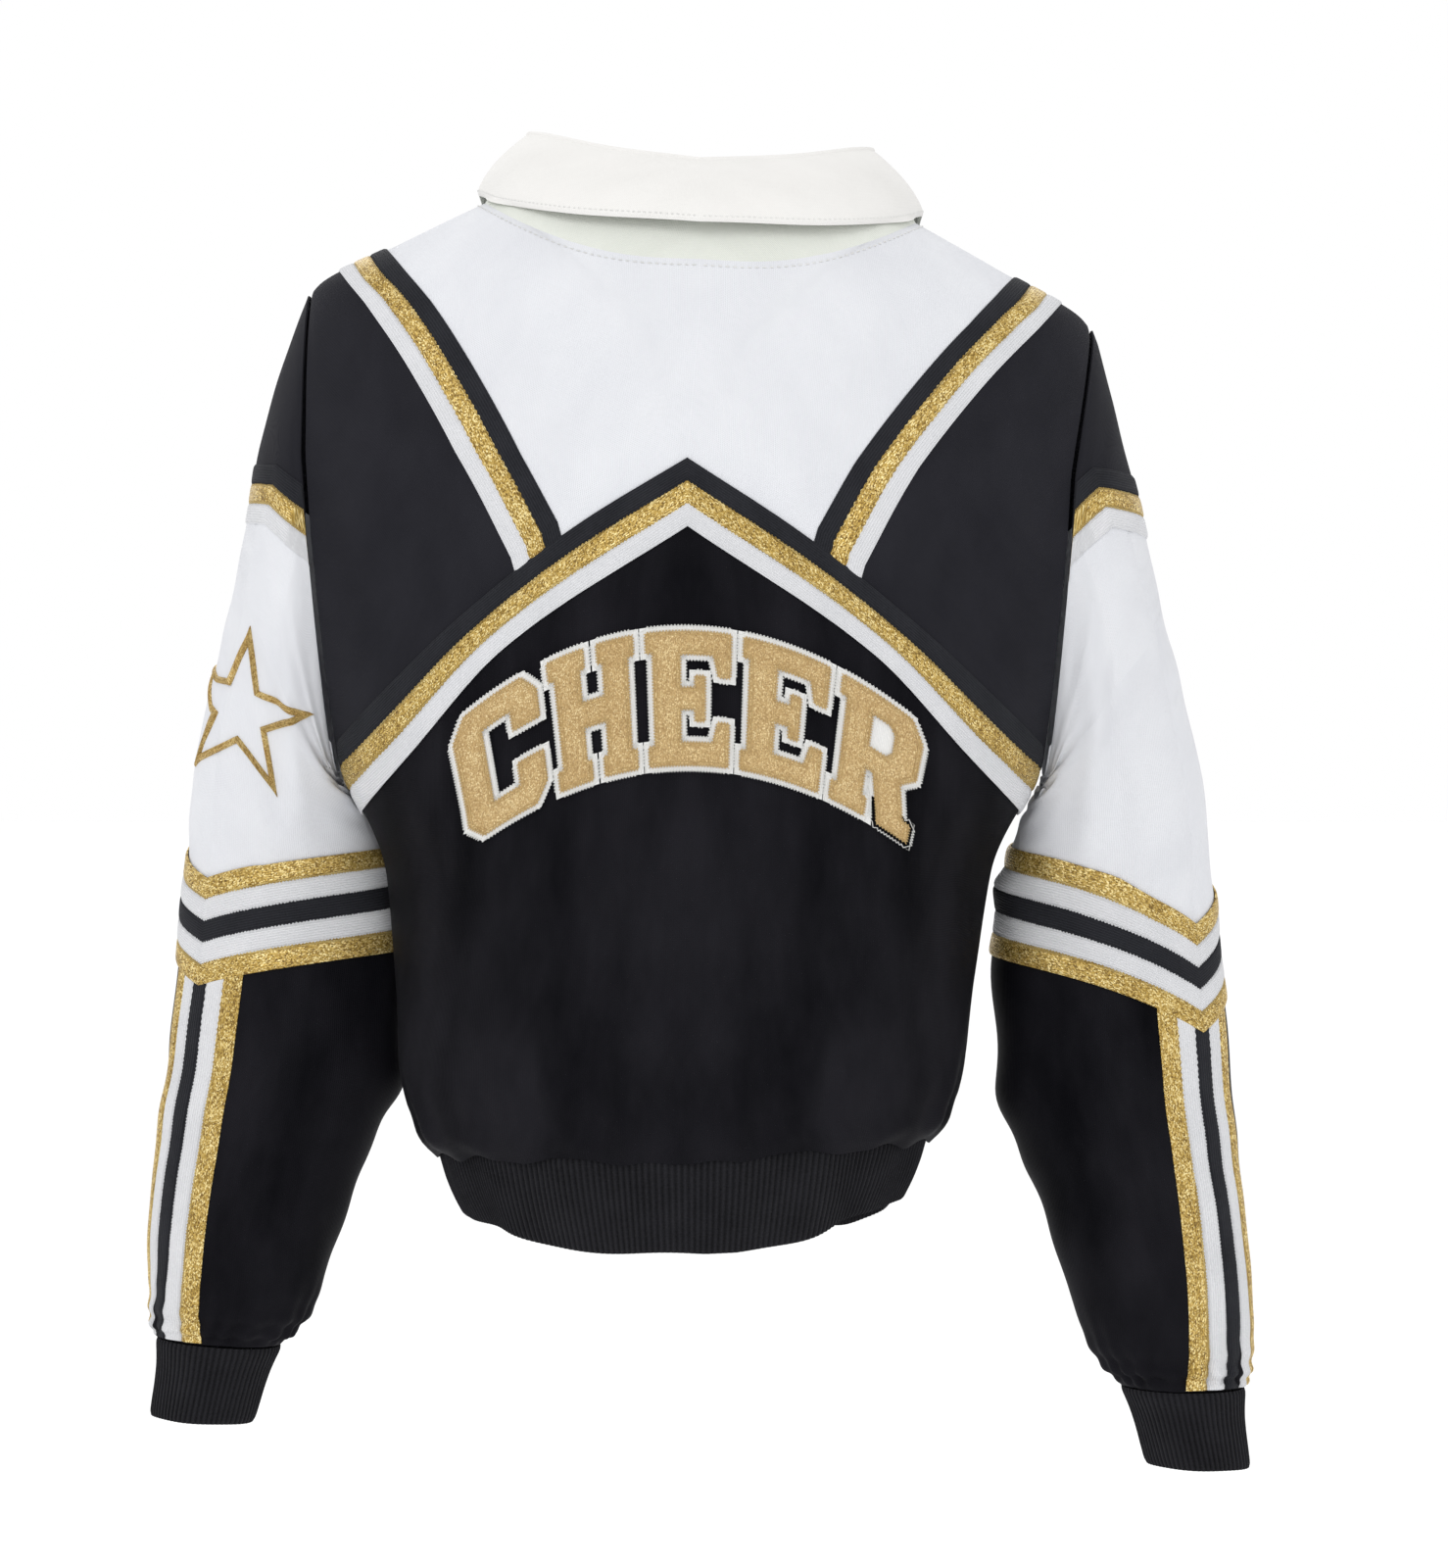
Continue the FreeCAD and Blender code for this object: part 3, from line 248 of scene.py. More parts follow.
def normals_of(surface, a, b, step_a, step_b):
    along_a = surface(a + step_a, b) - surface(a - step_a, b)
    along_b = surface(a, b + step_b) - surface(a, b - step_b)
    normal = np.cross(along_a, along_b)
    return normal / np.maximum(np.linalg.norm(normal, axis=-1, keepdims=True), 1e-9)


def torso(turn, height, lift=0.0):
    """Points of the body cloth, with its folds, moved out by lift."""
    turn, height = np.broadcast_arrays(np.asarray(turn, float), np.asarray(height, float))
    point = torso_base(turn, height)
    normal = normals_of(torso_base, turn, height, 0.2, 0.2)
    outward = point - np.stack([0 * height, 0 * height, height - 40], -1)
    normal = normal * np.sign(np.sum(normal * outward, -1, keepdims=True))
    folds = torso_folds(point, turn, height)
    return point + normal * (np.asarray(lift) + folds)[..., None]


def turn_of(x, height, back=True):
    half = smooth(TORSO[:, 0], TORSO[:, 1], height)
    turn = np.degrees(np.arccos(np.clip(x / half, -1, 1)))
    return turn if back else -turn


def sleeve_columns(place):
    return [smooth(np.arange(len(SLEEVE)), SLEEVE[:, i], place) for i in range(SLEEVE.shape[1])]


def tube_point(turn, across, height, forward, half, depth, tilt):
    """Point of a leaning oval tube."""
    angle = np.radians(turn)
    lean = np.radians(tilt)
    along = half * np.cos(angle)
    x = across + along * np.cos(lean)
    y = forward + depth * np.sin(angle)
    z = height + along * np.sin(lean)
    return np.stack([x, y, z], -1)


def sleeve_base(turn, place):
    return tube_point(turn, *sleeve_columns(place))


def sleeve_folds(turn, place, side):
    seed = 31 if side > 0 else 77
    place = np.asarray(place, float)
    around = np.radians(turn) * 50.0
    down = place * 60.0
    cover = np.clip(place / 0.6, 0, 1)
    angle = np.radians(turn)
    lift = 1.1 * wave_noise(np.cos(angle) * 60, down * 0.8 + np.sin(angle) * 60, seed, 130, 3)
    inner = np.clip(-np.cos(np.radians(turn - OUTSEAM)), 0, 1)
    elbow = np.exp(-((place - 5.7) / 1.5) ** 2)
    rucks = np.sin(down / 7.0 + 2.2 * np.sin(np.radians(turn + seed)) + seed)
    lift = lift + elbow * (0.5 + 1.5 * inner) * rucks
    armpit = np.exp(-((place - 1.9) / 1.0) ** 2)
    lift = lift + armpit * (0.4 + 1.6 * inner) * np.sin(down / 6.0 + np.sin(np.radians(turn * 2 + seed)) * 2)
    # A long soft pleat beside the armhole.
    window = np.clip((place - 0.9) / 1.2, 0, 1) * np.clip((4.9 - place) / 1.4, 0, 1)
    pleat = 3.0 * np.exp(-((turn - 103.0) / 9.0) ** 2) - 2.4 * np.exp(-((turn - 86.0) / 7.0) ** 2)
    lift = lift + window * pleat * (0.6 if side > 0 else 1.0)
    wrist = np.clip((place - 8.1) / 1.7, 0, 1) ** 1.5 * np.clip((10.0 - place) / 0.35, 0.1, 1)
    gathers = 1.5 * np.sin(around / 2.6 + 1.5 * np.sin(around / 11.0 + seed))
    lift = lift + wrist * (gathers + 1.2 * np.sin(down / 5.0 + seed))
    return lift * cover


def sleeve(turn, place, lift=0.0, side=1):
    """Points of a sleeve, with its folds; side is 1 for the wearer's left and -1 for the right."""
    turn, place = np.broadcast_arrays(np.asarray(turn, float), np.asarray(place, float))
    point = sleeve_base(turn, place)
    normal = normals_of(sleeve_base, turn, place, 0.3, 0.01)
    across, height, forward = sleeve_columns(place)[:3]
    outward = point - np.stack([across, forward, height], -1)
    normal = normal * np.sign(np.sum(normal * outward, -1, keepdims=True))
    point = point + normal * (np.asarray(lift) + sleeve_folds(turn, place, side))[..., None]
    if side < 0:
        point = point * np.array((-1.0, 1.0, 1.0))
    return point


# ---- materials


class Nodes:
    """Short helper to build one node material."""

    def __init__(self, name):
        self.material = bpy.data.materials.new(name)
        self.material.use_nodes = True
        self.tree = self.material.node_tree
        self.tree.nodes.clear()
        self.output = self.add("ShaderNodeOutputMaterial")
        self.shader = self.add("ShaderNodeBsdfPrincipled")
        self.link(self.shader, 0, self.output, 0)

    def add(self, kind, **settings):
        node = self.tree.nodes.new(kind)
        for key, value in settings.items():
            setattr(node, key, value)
        return node

    def link(self, source, out, target, into):
        self.tree.links.new(source.outputs[out], target.inputs[into])

    def weave(self):
        """Cloth coordinates in millimetres: across, along and a number for the piece."""
        return self.add("ShaderNodeAttribute", attribute_name="weave", attribute_type="GEOMETRY")

    def scaled(self, source, out, scale):
        node = self.add("ShaderNodeVectorMath", operation="MULTIPLY")
        node.inputs[1].default_value = scale
        self.link(source, out, node, 0)
        return node

    def noise(self, source, out, scale, detail=2.0, rough=0.5):
        node = self.add("ShaderNodeTexNoise")
        node.inputs["Scale"].default_value = scale
        node.inputs["Detail"].default_value = detail
        node.inputs["Roughness"].default_value = rough
        self.link(source, out, node, "Vector")
        return node

    def ramp(self, source, out, stops):
        node = self.add("ShaderNodeValToRGB")
        elements = node.color_ramp.elements
        while len(elements) < len(stops):
            elements.new(0.5)
        for element, (position, colour) in zip(elements, stops):
            element.position = position
            element.color = tuple(colour) + (1.0,)
        self.link(source, out, node, 0)
        return node

    def math(self, operation, first, second=None, third=None):
        node = self.add("ShaderNodeMath", operation=operation)
        for index, value in enumerate((first, second, third)):
            if value is None:
                continue
            if isinstance(value, tuple):
                self.link(value[0], value[1], node, index)
            else:
                node.inputs[index].default_value = value
        return node

    def mix(self, factor, first, second, blend="MIX"):
        node = self.add("ShaderNodeMix", data_type="RGBA", blend_type=blend)
        for socket, value in (("Factor", factor), ("A", first), ("B", second)):
            index = {"Factor": 0, "A": 6, "B": 7}[socket]
            if isinstance(value, tuple) and len(value) == 2 and not isinstance(value[0], float):
                self.link(value[0], value[1], node, index)
            elif socket == "Factor":
                node.inputs[index].default_value = value
            else:
                node.inputs[index].default_value = tuple(value) + (1.0,)
        return node

    def bump(self, height, out, strength, distance):
        node = self.add("ShaderNodeBump")
        node.inputs["Strength"].default_value = strength
        node.inputs["Distance"].default_value = distance
        self.link(height, out, node, "Height")
        self.link(node, 0, self.shader, "Normal")


def knit(name, dark, light, rough=0.85, sheen=0.35, pitch=1.1, depth=0.25, specular=0.3, drawn=1.0):
    """Fine interlock knit: tiny loops in columns, cloudy colour and a soft sheen."""
    n = Nodes(name)
    weave = n.weave()
    cloudy = n.noise(n.scaled(weave, 1, (1, drawn, 1)), 0, 0.022, 4.0, 0.55)
    cloud = n.ramp(cloudy, 0, ((0.3, dark), (0.7, light)))
    loops = n.scaled(weave, 1, (2 * math.pi / pitch, 2 * math.pi / (pitch * 0.8), 0))
    split = n.add("ShaderNodeSeparateXYZ")
    n.link(loops, 0, split, 0)
    jitter = n.noise(weave, 1, 0.5, 2.0)
    column = n.math("SINE", (n.math("ADD", (split, 0), (jitter, 0)), 0))
    row = n.math("SINE", (n.math("ADD", (split, 1), (n.math("MULTIPLY", (column, 0), 1.2), 0)), 0))
    loop = n.math("ADD", (n.math("MULTIPLY", (column, 0), 0.6), 0), (n.math("MULTIPLY", (row, 0), 0.4), 0))
    fuzz = n.noise(weave, 1, 2.2, 3.0, 0.7)
    height = n.math("ADD", (loop, 0), (n.math("MULTIPLY", (fuzz, 0), 0.8), 0))
    shade = n.math("MULTIPLY_ADD", (height, 0), 0.035, 0.97)
    combine = n.add("ShaderNodeCombineColor")
    for index in range(3):
        n.link(shade, 0, combine, index)
    colour = n.mix(1.0, (cloud, 0), (combine, 0), "MULTIPLY")
    n.link(colour, 2, n.shader, "Base Color")
    n.shader.inputs["Sheen Weight"].default_value = sheen
    n.shader.inputs["Sheen Roughness"].default_value = 0.45
    n.shader.inputs["Specular IOR Level"].default_value = specular
    rough_range = n.math("MULTIPLY_ADD", (cloudy, 0), 0.14, rough - 0.07)
    n.link(rough_range, 0, n.shader, "Roughness")
    n.bump(height, 0, 0.45, depth * MM)
    return n.material


def ribbed(name, dark, light, pitch, rough=0.8, sheen=0.3, specular=0.3, depth=0.4):
    """Braid or rib: cords along the length, with a fine stitch across them."""
    n = Nodes(name)
    weave = n.weave()
    split = n.add("ShaderNodeSeparateXYZ")
    n.link(weave, 1, split, 0)
    cords = n.math("SINE", (n.math("MULTIPLY", (split, 0), 2 * math.pi / pitch), 0))
    stitch = n.math("SINE", (n.math("MULTIPLY", (split, 1), 2 * math.pi / 0.8), 0))
    height = n.math("ADD", (cords, 0), (n.math("MULTIPLY", (stitch, 0), 0.25), 0))
    grain = n.noise(weave, 1, 0.9, 3.0, 0.7)
    cloud = n.noise(weave, 1, 0.05, 3.0)
    # Colour follows the cords: painted shade in grooves, painted light on crowns, plus grain and clouds.
    amount = n.math("MULTIPLY_ADD", (height, 0), 0.16, (n.math("MULTIPLY_ADD", (grain, 0), 0.7, 0.12), 0))
    amount = n.math("ADD", (amount, 0), (n.math("MULTIPLY_ADD", (cloud, 0), 0.5, -0.25), 0))
    colour = n.ramp(amount, 0, ((0.05, dark), (0.85, light)))
    n.link(colour, 0, n.shader, "Base Color")
    n.shader.inputs["Roughness"].default_value = rough
    n.shader.inputs["Sheen Weight"].default_value = sheen
    n.shader.inputs["Specular IOR Level"].default_value = specular
    n.bump(height, 0, 0.6, depth * MM)
    return n.material


def glitter(name, stops, cell, pitch=1.3, metallic=0.55, rough=0.42, depth=0.35, cords=0.5):
    """Metallic yarn in cords: fleck tones are painted glints and shade, cord crowns painted lighter."""
    n = Nodes(name)
    weave = n.weave()
    flecks = n.add("ShaderNodeTexVoronoi", feature="F1")
    flecks.inputs["Scale"].default_value = 1.0
    n.link(n.scaled(weave, 1, (1 / cell, 0.62 / cell, 1)), 0, flecks, "Vector")
    grey = n.add("ShaderNodeSeparateColor")
    n.link(flecks, "Color", grey, 0)
    split = n.add("ShaderNodeSeparateXYZ")
    n.link(weave, 1, split, 0)
    cord = n.math("SINE", (n.math("MULTIPLY", (split, 0), 2 * math.pi / pitch), 0))
    cloud = n.noise(weave, 1, 0.06, 3.0)
    # Colour: fleck tone as painted glints and shade, cord crowns painted lighter, plus a cloud.
    amount = n.math("MULTIPLY_ADD", (cord, 0), 0.07 * cords, (grey, 0))
    amount = n.math("ADD", (amount, 0), (n.math("MULTIPLY_ADD", (cloud, 0), 0.5, -0.25), 0))
    colour = n.ramp(amount, 0, stops)
    n.link(colour, 0, n.shader, "Base Color")
    metal = n.math("MULTIPLY_ADD", (grey, 1), 0.5, metallic - 0.25)
    n.link(metal, 0, n.shader, "Metallic")
    roughness = n.math("MULTIPLY_ADD", (grey, 2), 0.3, rough - 0.15)
    n.link(roughness, 0, n.shader, "Roughness")
    height = n.math("ADD", (n.math("MULTIPLY", (cord, 0), cords), 0), (n.math("MULTIPLY", (grey, 1), 0.9), 0))
    n.bump(height, 0, 0.7, depth * MM)
    return n.material


def moulded(name, dark, light, rough, metallic=0.0, specular=0.5):
    """Moulded plastic or painted metal with fine pits and worn patches."""
    n = Nodes(name)
    place = n.add("ShaderNodeTexCoord")
    pits = n.noise(place, "Object", 900.0, 3.0)
    worn = n.noise(place, "Object", 120.0, 4.0)
    colour = n.ramp(worn, 0, ((0.35, dark), (0.75, light)))
    n.link(colour, 0, n.shader, "Base Color")
    n.shader.inputs["Metallic"].default_value = metallic
    n.shader.inputs["Specular IOR Level"].default_value = specular
    n.link(n.math("MULTIPLY_ADD", (worn, 0), 0.3, rough - 0.15), 0, n.shader, "Roughness")
    n.bump(pits, 0, 0.25, 0.05 * MM)
    return n.material


WHITE_CLOTH = knit("white_knit", (0.69, 0.70, 0.735), (0.745, 0.755, 0.785), sheen=0.08, specular=0.15)
COLLAR_CLOTH = knit(
    "collar_knit", (0.76, 0.75, 0.73), (0.805, 0.795, 0.775), sheen=0.08, depth=0.15, specular=0.15,
)
# The collar's under side and stand: the collar's white knit, painted darker and greener as shade.
SHADED_UNDER_CLOTH = knit("under_collar_knit", (0.69, 0.71, 0.655), (0.75, 0.77, 0.715), sheen=0.06, specular=0.15)
UPPER_BLACK = knit(
    "upper_black_knit", (0.0135, 0.0135, 0.0175), (0.0195, 0.0195, 0.0245),
    sheen=0.025, rough=0.72, specular=0.05,
)
# Drawn out along the cloth, its clouds also stand for some of the fold shading.
LOWER_BLACK = knit(
    "lower_black_knit", (0.0012, 0.0012, 0.0024), (0.0120, 0.0115, 0.0148),
    sheen=0.012, rough=0.60, specular=0.045, drawn=0.4,
)
WHITE_BRAID = ribbed("white_braid", (0.58, 0.59, 0.61), (0.80, 0.80, 0.82), 1.35, specular=0.15, sheen=0.1)
BLACK_BRAID = ribbed(
    "black_braid", (0.0085, 0.009, 0.0115), (0.031, 0.032, 0.038), 1.35,
    rough=0.7, sheen=0.03, specular=0.06,
)
# Gold ramps: from the painted shade of dark flecks to the painted glints of bright ones.
GOLD_STOPS = (
    (0.04, (0.17, 0.095, 0.018)), (0.36, (0.41, 0.265, 0.055)),
    (0.70, (0.60, 0.41, 0.11)), (0.98, (0.95, 0.80, 0.40)),
)
GOLD_BRAID = glitter("gold_braid", GOLD_STOPS, 0.52)
TWILL_STOPS = (
    (0.05, (0.35, 0.22, 0.085)), (0.4, (0.46, 0.305, 0.125)),
    (0.74, (0.545, 0.375, 0.165)), (0.98, (0.80, 0.65, 0.36)),
)
GOLD_TWILL = glitter("gold_twill", TWILL_STOPS, 0.36, pitch=0.9, metallic=0.4, cords=0.25, depth=0.15)
SATIN_STOPS = ((0.05, (0.33, 0.18, 0.04)), (0.5, (0.60, 0.385, 0.10)), (0.97, (0.93, 0.74, 0.34)))
GOLD_SATIN = glitter("gold_satin", SATIN_STOPS, 0.45, pitch=0.7, metallic=0.35, rough=0.35, cords=1.4)
WHITE_TWILL = ribbed(
    "white_twill", (0.68, 0.68, 0.67), (0.84, 0.84, 0.825), 0.8, depth=0.15, specular=0.15, sheen=0.1,
)
RIB_PITCH = 2.8
BLACK_RIB = ribbed(
    "black_rib", (0.0022, 0.0022, 0.0030), (0.0190, 0.0188, 0.0225), RIB_PITCH,
    rough=0.75, sheen=0.03, specular=0.07,
)
WHITE_THREAD = ribbed("white_thread", (0.68, 0.68, 0.66), (0.86, 0.86, 0.84), 0.5, depth=0.1)
GOLD_THREAD = ribbed("gold_thread", (0.36, 0.22, 0.06), (0.66, 0.46, 0.17), 0.5, depth=0.1)
ZIP_TAPE = ribbed("zipper_tape", (0.010, 0.010, 0.012), (0.028, 0.028, 0.031), 0.9, depth=0.15)
ZIP_PLASTIC = moulded("zipper_plastic", (0.016, 0.016, 0.018), (0.035, 0.035, 0.038), 0.42)
ZIP_METAL = moulded("zipper_metal", (0.022, 0.022, 0.024), (0.16, 0.155, 0.15), 0.36, metallic=0.8)

# ---- meshes


def finished(name, mesh, weave, sharp):
    """Smooth-shaded object of a mesh that carries its cloth coordinates, in mm."""
    layer = mesh.attributes.new("weave", "FLOAT_VECTOR", "POINT")
    layer.data.foreach_set("vector", np.asarray(weave, np.float32).ravel())
    mesh.polygons.foreach_set("use_smooth", np.ones(len(mesh.polygons), bool))
    mesh.set_sharp_from_angle(angle=math.radians(sharp))
    obj = bpy.data.objects.new(name, mesh)
    bpy.context.scene.collection.objects.link(obj)
    return obj


def new_object(name, verts, faces, materials, weave, face_slots=None):
    mesh = bpy.data.meshes.new(name)
    mesh.from_pydata([tuple(v) for v in verts], [], [tuple(f) for f in faces])
    for material in materials:
        mesh.materials.append(material)
    if face_slots is not None:
        mesh.polygons.foreach_set("material_index", np.asarray(face_slots, np.int32))
    mesh.validate()
    bm = bmesh.new()
    bm.from_mesh(mesh)
    bmesh.ops.recalc_face_normals(bm, faces=bm.faces)
    bm.to_mesh(mesh)
    bm.free()
    return finished(name, mesh, weave, 38.0)


piece_numbers = itertools.count(1)
NUMBER_STEP = 7.3  # keeps the noise of one piece apart from that of the next


def shell(name, blocks, materials):
    """Closed cloth piece from blocks of outer grid, inner grid and weave grid, in mm, and face slots."""
    number = next(piece_numbers)
    verts, weaves, faces, slots = [], [], [], []
    base = 0
    for outer, inner, weave, column_slots in blocks:
        rows, cols = outer.shape[:2]
        count = rows * cols
        verts += [outer.reshape(-1, 3), inner.reshape(-1, 3)]
        w = np.zeros((rows, cols, 3))
        w[..., :2] = weave
        w[..., 2] = number * NUMBER_STEP
        weaves += [w.reshape(-1, 3)] * 2
        index = np.arange(count).reshape(rows, cols) + base
        quads = np.stack([index[:-1, :-1], index[:-1, 1:], index[1:, 1:], index[1:, :-1]], -1)
        per_face = np.broadcast_to(np.asarray(column_slots), (rows - 1, cols - 1))
        faces += [quads.reshape(-1, 4), (quads + count)[..., ::-1].reshape(-1, 4)]
        slots += [per_face.ravel()] * 2
        borders = (
            (index[0, :], per_face[0]), (index[-1, ::-1], per_face[-1][::-1]),
            (index[::-1, 0], per_face[:, 0][::-1]), (index[:, -1], per_face[:, -1]),
        )
        for edge, edge_slots in borders:
            faces.append(np.stack([edge[:-1], edge[:-1] + count, edge[1:] + count, edge[1:]], -1))
            slots.append(edge_slots)
        base += 2 * count
    return new_object(
        name, np.concatenate(verts) * MM, np.concatenate(faces), materials,
        np.concatenate(weaves), np.concatenate(slots),
    )


def arc_lengths(grid):
    """Weave coordinates (across, along) in mm for a grid of points."""
    across = np.zeros(grid.shape[:2])
    along = np.zeros(grid.shape[:2])
    across[:, 1:] = np.cumsum(np.linalg.norm(np.diff(grid, axis=1), axis=-1), axis=1)
    along[1:, :] = np.cumsum(np.linalg.norm(np.diff(grid, axis=0), axis=-1), axis=0)
    return np.stack([across, along], -1)


def quilt(bottom, top, left, right):
    """Coons grid of (a, b) between four border lines given as (n, 2) arrays."""
    v = np.linspace(0, 1, len(left))[:, None, None]
    u = np.linspace(0, 1, len(bottom))[None, :, None]
    rows = bottom[None] * (1 - v) + top[None] * v
    sides = left[:, None] * (1 - u) + right[:, None] * u
    corners = (bottom[0] * (1 - u) + bottom[-1] * u) * (1 - v) + (top[0] * (1 - u) + top[-1] * u) * v
    return rows + sides - corners


def between(start, end, count):
    f = np.linspace(0, 1, count)[:, None]
    return np.asarray(start) * (1 - f) + np.asarray(end) * f


def seam_dip(grid, top=0.0, bottom=0.0, left=0.0, right=0.0, reach=2):
    """How far the cloth of a grid dips at its stitched edges, mm; reach counts rows or columns."""
    rows, cols = grid.shape[:2]
    dip = np.zeros((rows, cols))
    i = np.arange(rows)[:, None]
    j = np.arange(cols)[None, :]
    for amount, distance in ((bottom, i), (top, rows - 1 - i), (left, j), (right, cols - 1 - j)):
        dip = np.maximum(dip, amount * np.exp(-(distance / float(reach)) ** 2))
    return dip


CLOTH_THICK = 0.9


def cloth_block(surface, grid, dip=0.0):
    outer = surface(grid[..., 0], grid[..., 1], -dip)
    inner = surface(grid[..., 0], grid[..., 1], -dip - CLOTH_THICK)
    return outer, inner, arc_lengths(outer), 0


def mirror_block(block):
    outer, inner, weave, slots = block
    flip = np.array((-1.0, 1.0, 1.0))
    return outer * flip, inner * flip, weave, slots


def declare(obj, blocks, halves=1):
    """Works out what a sheet of cloth measures flat, from its weave lengths and mesh area, and keeps none of
    it.
    """
    width = halves * max(block[2][..., 0].max() for block in blocks) * MM
    length = max(block[2][..., 1].max() for block in blocks) * MM
    area = sum(polygon.area for polygon in obj.data.polygons) / 2
    area = min(area, width * length)


def torso_pieces(name, node, blocks, materials, joined, held=None):
    """One piece with its mirror image joined on, or a left piece and a right one, carried by the torso."""
    mirrored = [mirror_block(block) for block in blocks]
    made = (("", blocks + mirrored),) if joined else (("_left", blocks), ("_right", mirrored))
    for suffix, side_blocks in made:
        obj = shell(name + suffix, side_blocks, materials)
        if held:
            declare(obj, side_blocks, halves=2 if joined else 1)
        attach(obj, "torso")
        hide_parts(node + suffix)


# ---- body panels


def body_line(x, height, back):
    """(turn, height) of points given by x, kept just inside the widest place of the body."""
    widest = smooth(TORSO[:, 0], TORSO[:, 1], height) * math.cos(math.radians(0.15))
    return np.stack([turn_of(np.minimum(x, widest), height, back), height], -1)


def pattern_line(name, low_x, high_x, count, back):
    corners = np.array(LINES[name])
    x = np.linspace(low_x, high_x, count)
    return body_line(x, smooth(corners[:, 0], corners[:, 1], x), back)


RIDGE_TURN = 0.2


def rising_line(name, count, back):
    """A line of the V, from its foot up to the shoulder ridge."""
    corners = np.array(LINES[name])
    low_z, high_z = corners[0, 1], corners[-1, 1]
    height = high_z - (high_z - low_z) * (1 - np.linspace(0, 1, count)) ** 2
    points = body_line(smooth(corners[:, 1], corners[:, 0], height), height, back)
    points[-1] = (RIDGE_TURN if back else -RIDGE_TURN, bisect_ridge(corners[-1, 0]))
    return points


def bisect_ridge(x):
    low, high = -60.0, 6.0
    for _ in range(40):
        middle = (low + high) / 2
        if smooth(TORSO[:, 0], TORSO[:, 1], middle) > x:
            low = middle
        else:
            high = middle
    return low


def armhole_x(height):
    return ARMHOLE_TOP[0] - ARMHOLE_LEAN * (ARMHOLE_TOP[1] - height)


def neck_points(turns):
    """(turn, height) of the neck seam."""
    result = []
    for turn in turns:
        angle = math.radians(turn)
        depth, power = (NECK[1], 0.8) if turn >= 0 else (NECK[2], 1.0)
        x = NECK[0] * abs(math.cos(angle)) ** power
        y = depth * math.copysign(abs(math.sin(angle)) ** power, turn)
        low, high = -100.0, 6.0
        for _ in range(40):
            middle = (low + high) / 2
            half, back, front = [float(v) for v in columns(TORSO, middle)]
            if (x / half) ** 2 + (y / (back if turn >= 0 else front)) ** 2 > 1:
                high = middle
            else:
                low = middle
        half, back, front = [float(v) for v in columns(TORSO, low)]
        result.append((math.degrees(math.atan2(y / (back if turn >= 0 else front), x / half)), low))
    return np.array(result)


armpit = -280.0
for _ in range(60):
    armpit += 0.5 * (1 if smooth(TORSO[:, 0], TORSO[:, 1], armpit) < armhole_x(armpit) else -1)

PANEL_ROWS = 64


def fine(line, count):
    """The same line resampled evenly by index to a finer count."""
    old = np.linspace(0, 1, len(line))
    new = np.linspace(0, 1, count)
    return np.stack([np.interp(new, old, line[:, 0]), np.interp(new, old, line[:, 1])], -1)


def start_of(back):
    """x of a piece's edge at the middle of the body: the front is open there for the zipper."""
    return 0.0 if back else FRONT_OPENING


def yoke_blocks(back, v_side):
    """The yoke's inner part, below the neck seam, and its outer part, below the shoulder ridge."""
    sign = 1 if back else -1
    start_x = start_of(back)
    first_turn = 90.0 if back else math.degrees(math.acos(start_x / NECK[0]))
    neck_line = neck_points(sign * np.linspace(first_turn, 0.4, 40))
    if not back:
        neck_line[0] = (turn_of(start_x, neck_line[0, 1], False), neck_line[0, 1])
    low_inner = pattern_line("chevron_middle", start_x, SPLIT_X, 40, back)
    low_outer = pattern_line("chevron_middle", SPLIT_X, JUNCTION_X, 24, back)
    ridge_line = np.array([(sign * RIDGE_TURN, bisect_ridge(x)) for x in np.linspace(NECK[0], RIDGE_X, 24)])
    ridge_line[0] = neck_line[-1]
    ridge_line[-1] = v_side[-1]
    low_outer[-1] = v_side[0]
    f = (1 - np.linspace(0, 1, PANEL_ROWS)) ** 2
    heights = low_outer[0, 1] * f + ridge_line[0, 1] * (1 - f)
    split_line = np.stack([turn_of(SPLIT_X * f + NECK[0] * (1 - f), heights, back), heights], -1)
    split_line[0], split_line[-1] = low_outer[0], ridge_line[0]
    centre_line = between(low_inner[0], neck_line[0], PANEL_ROWS)
    low_inner[-1] = low_outer[0]
    inner_block = cloth_block(torso, quilt(low_inner, neck_line, centre_line, split_line))
    outer_grid = quilt(low_outer, ridge_line, split_line, v_side)
    outer_block = cloth_block(torso, outer_grid, seam_dip(outer_grid, top=0.6))
    # The outer part's weave starts where the inner part's ends, so that the knit runs on across the split.
    outer_block[2][..., 0] += inner_block[2][:, -1:, 0]
    return [inner_block, outer_block]


def side_panel_block(back, v_side):
    """The panel between the V and the armhole."""
    rise = (1 - np.cos(np.linspace(0, math.pi, PANEL_ROWS))) / 2
    low_z, high_z = armpit + 0.4, ARMHOLE_TOP[1] + 1.0
    heights = low_z + (high_z - low_z) * rise
    armhole_side = body_line(armhole_x(heights), heights, back)
    low_side = pattern_line("chevron_middle", JUNCTION_X, CHEVRON_END_X, 40, back)
    low_side[0], low_side[-1] = v_side[0], armhole_side[0]
    shoulder_line = between(v_side[-1], armhole_side[-1], 40)
    grid = quilt(low_side, shoulder_line, v_side, armhole_side)
    return cloth_block(torso, grid, seam_dip(grid, top=0.6, right=0.5, reach=1.5))


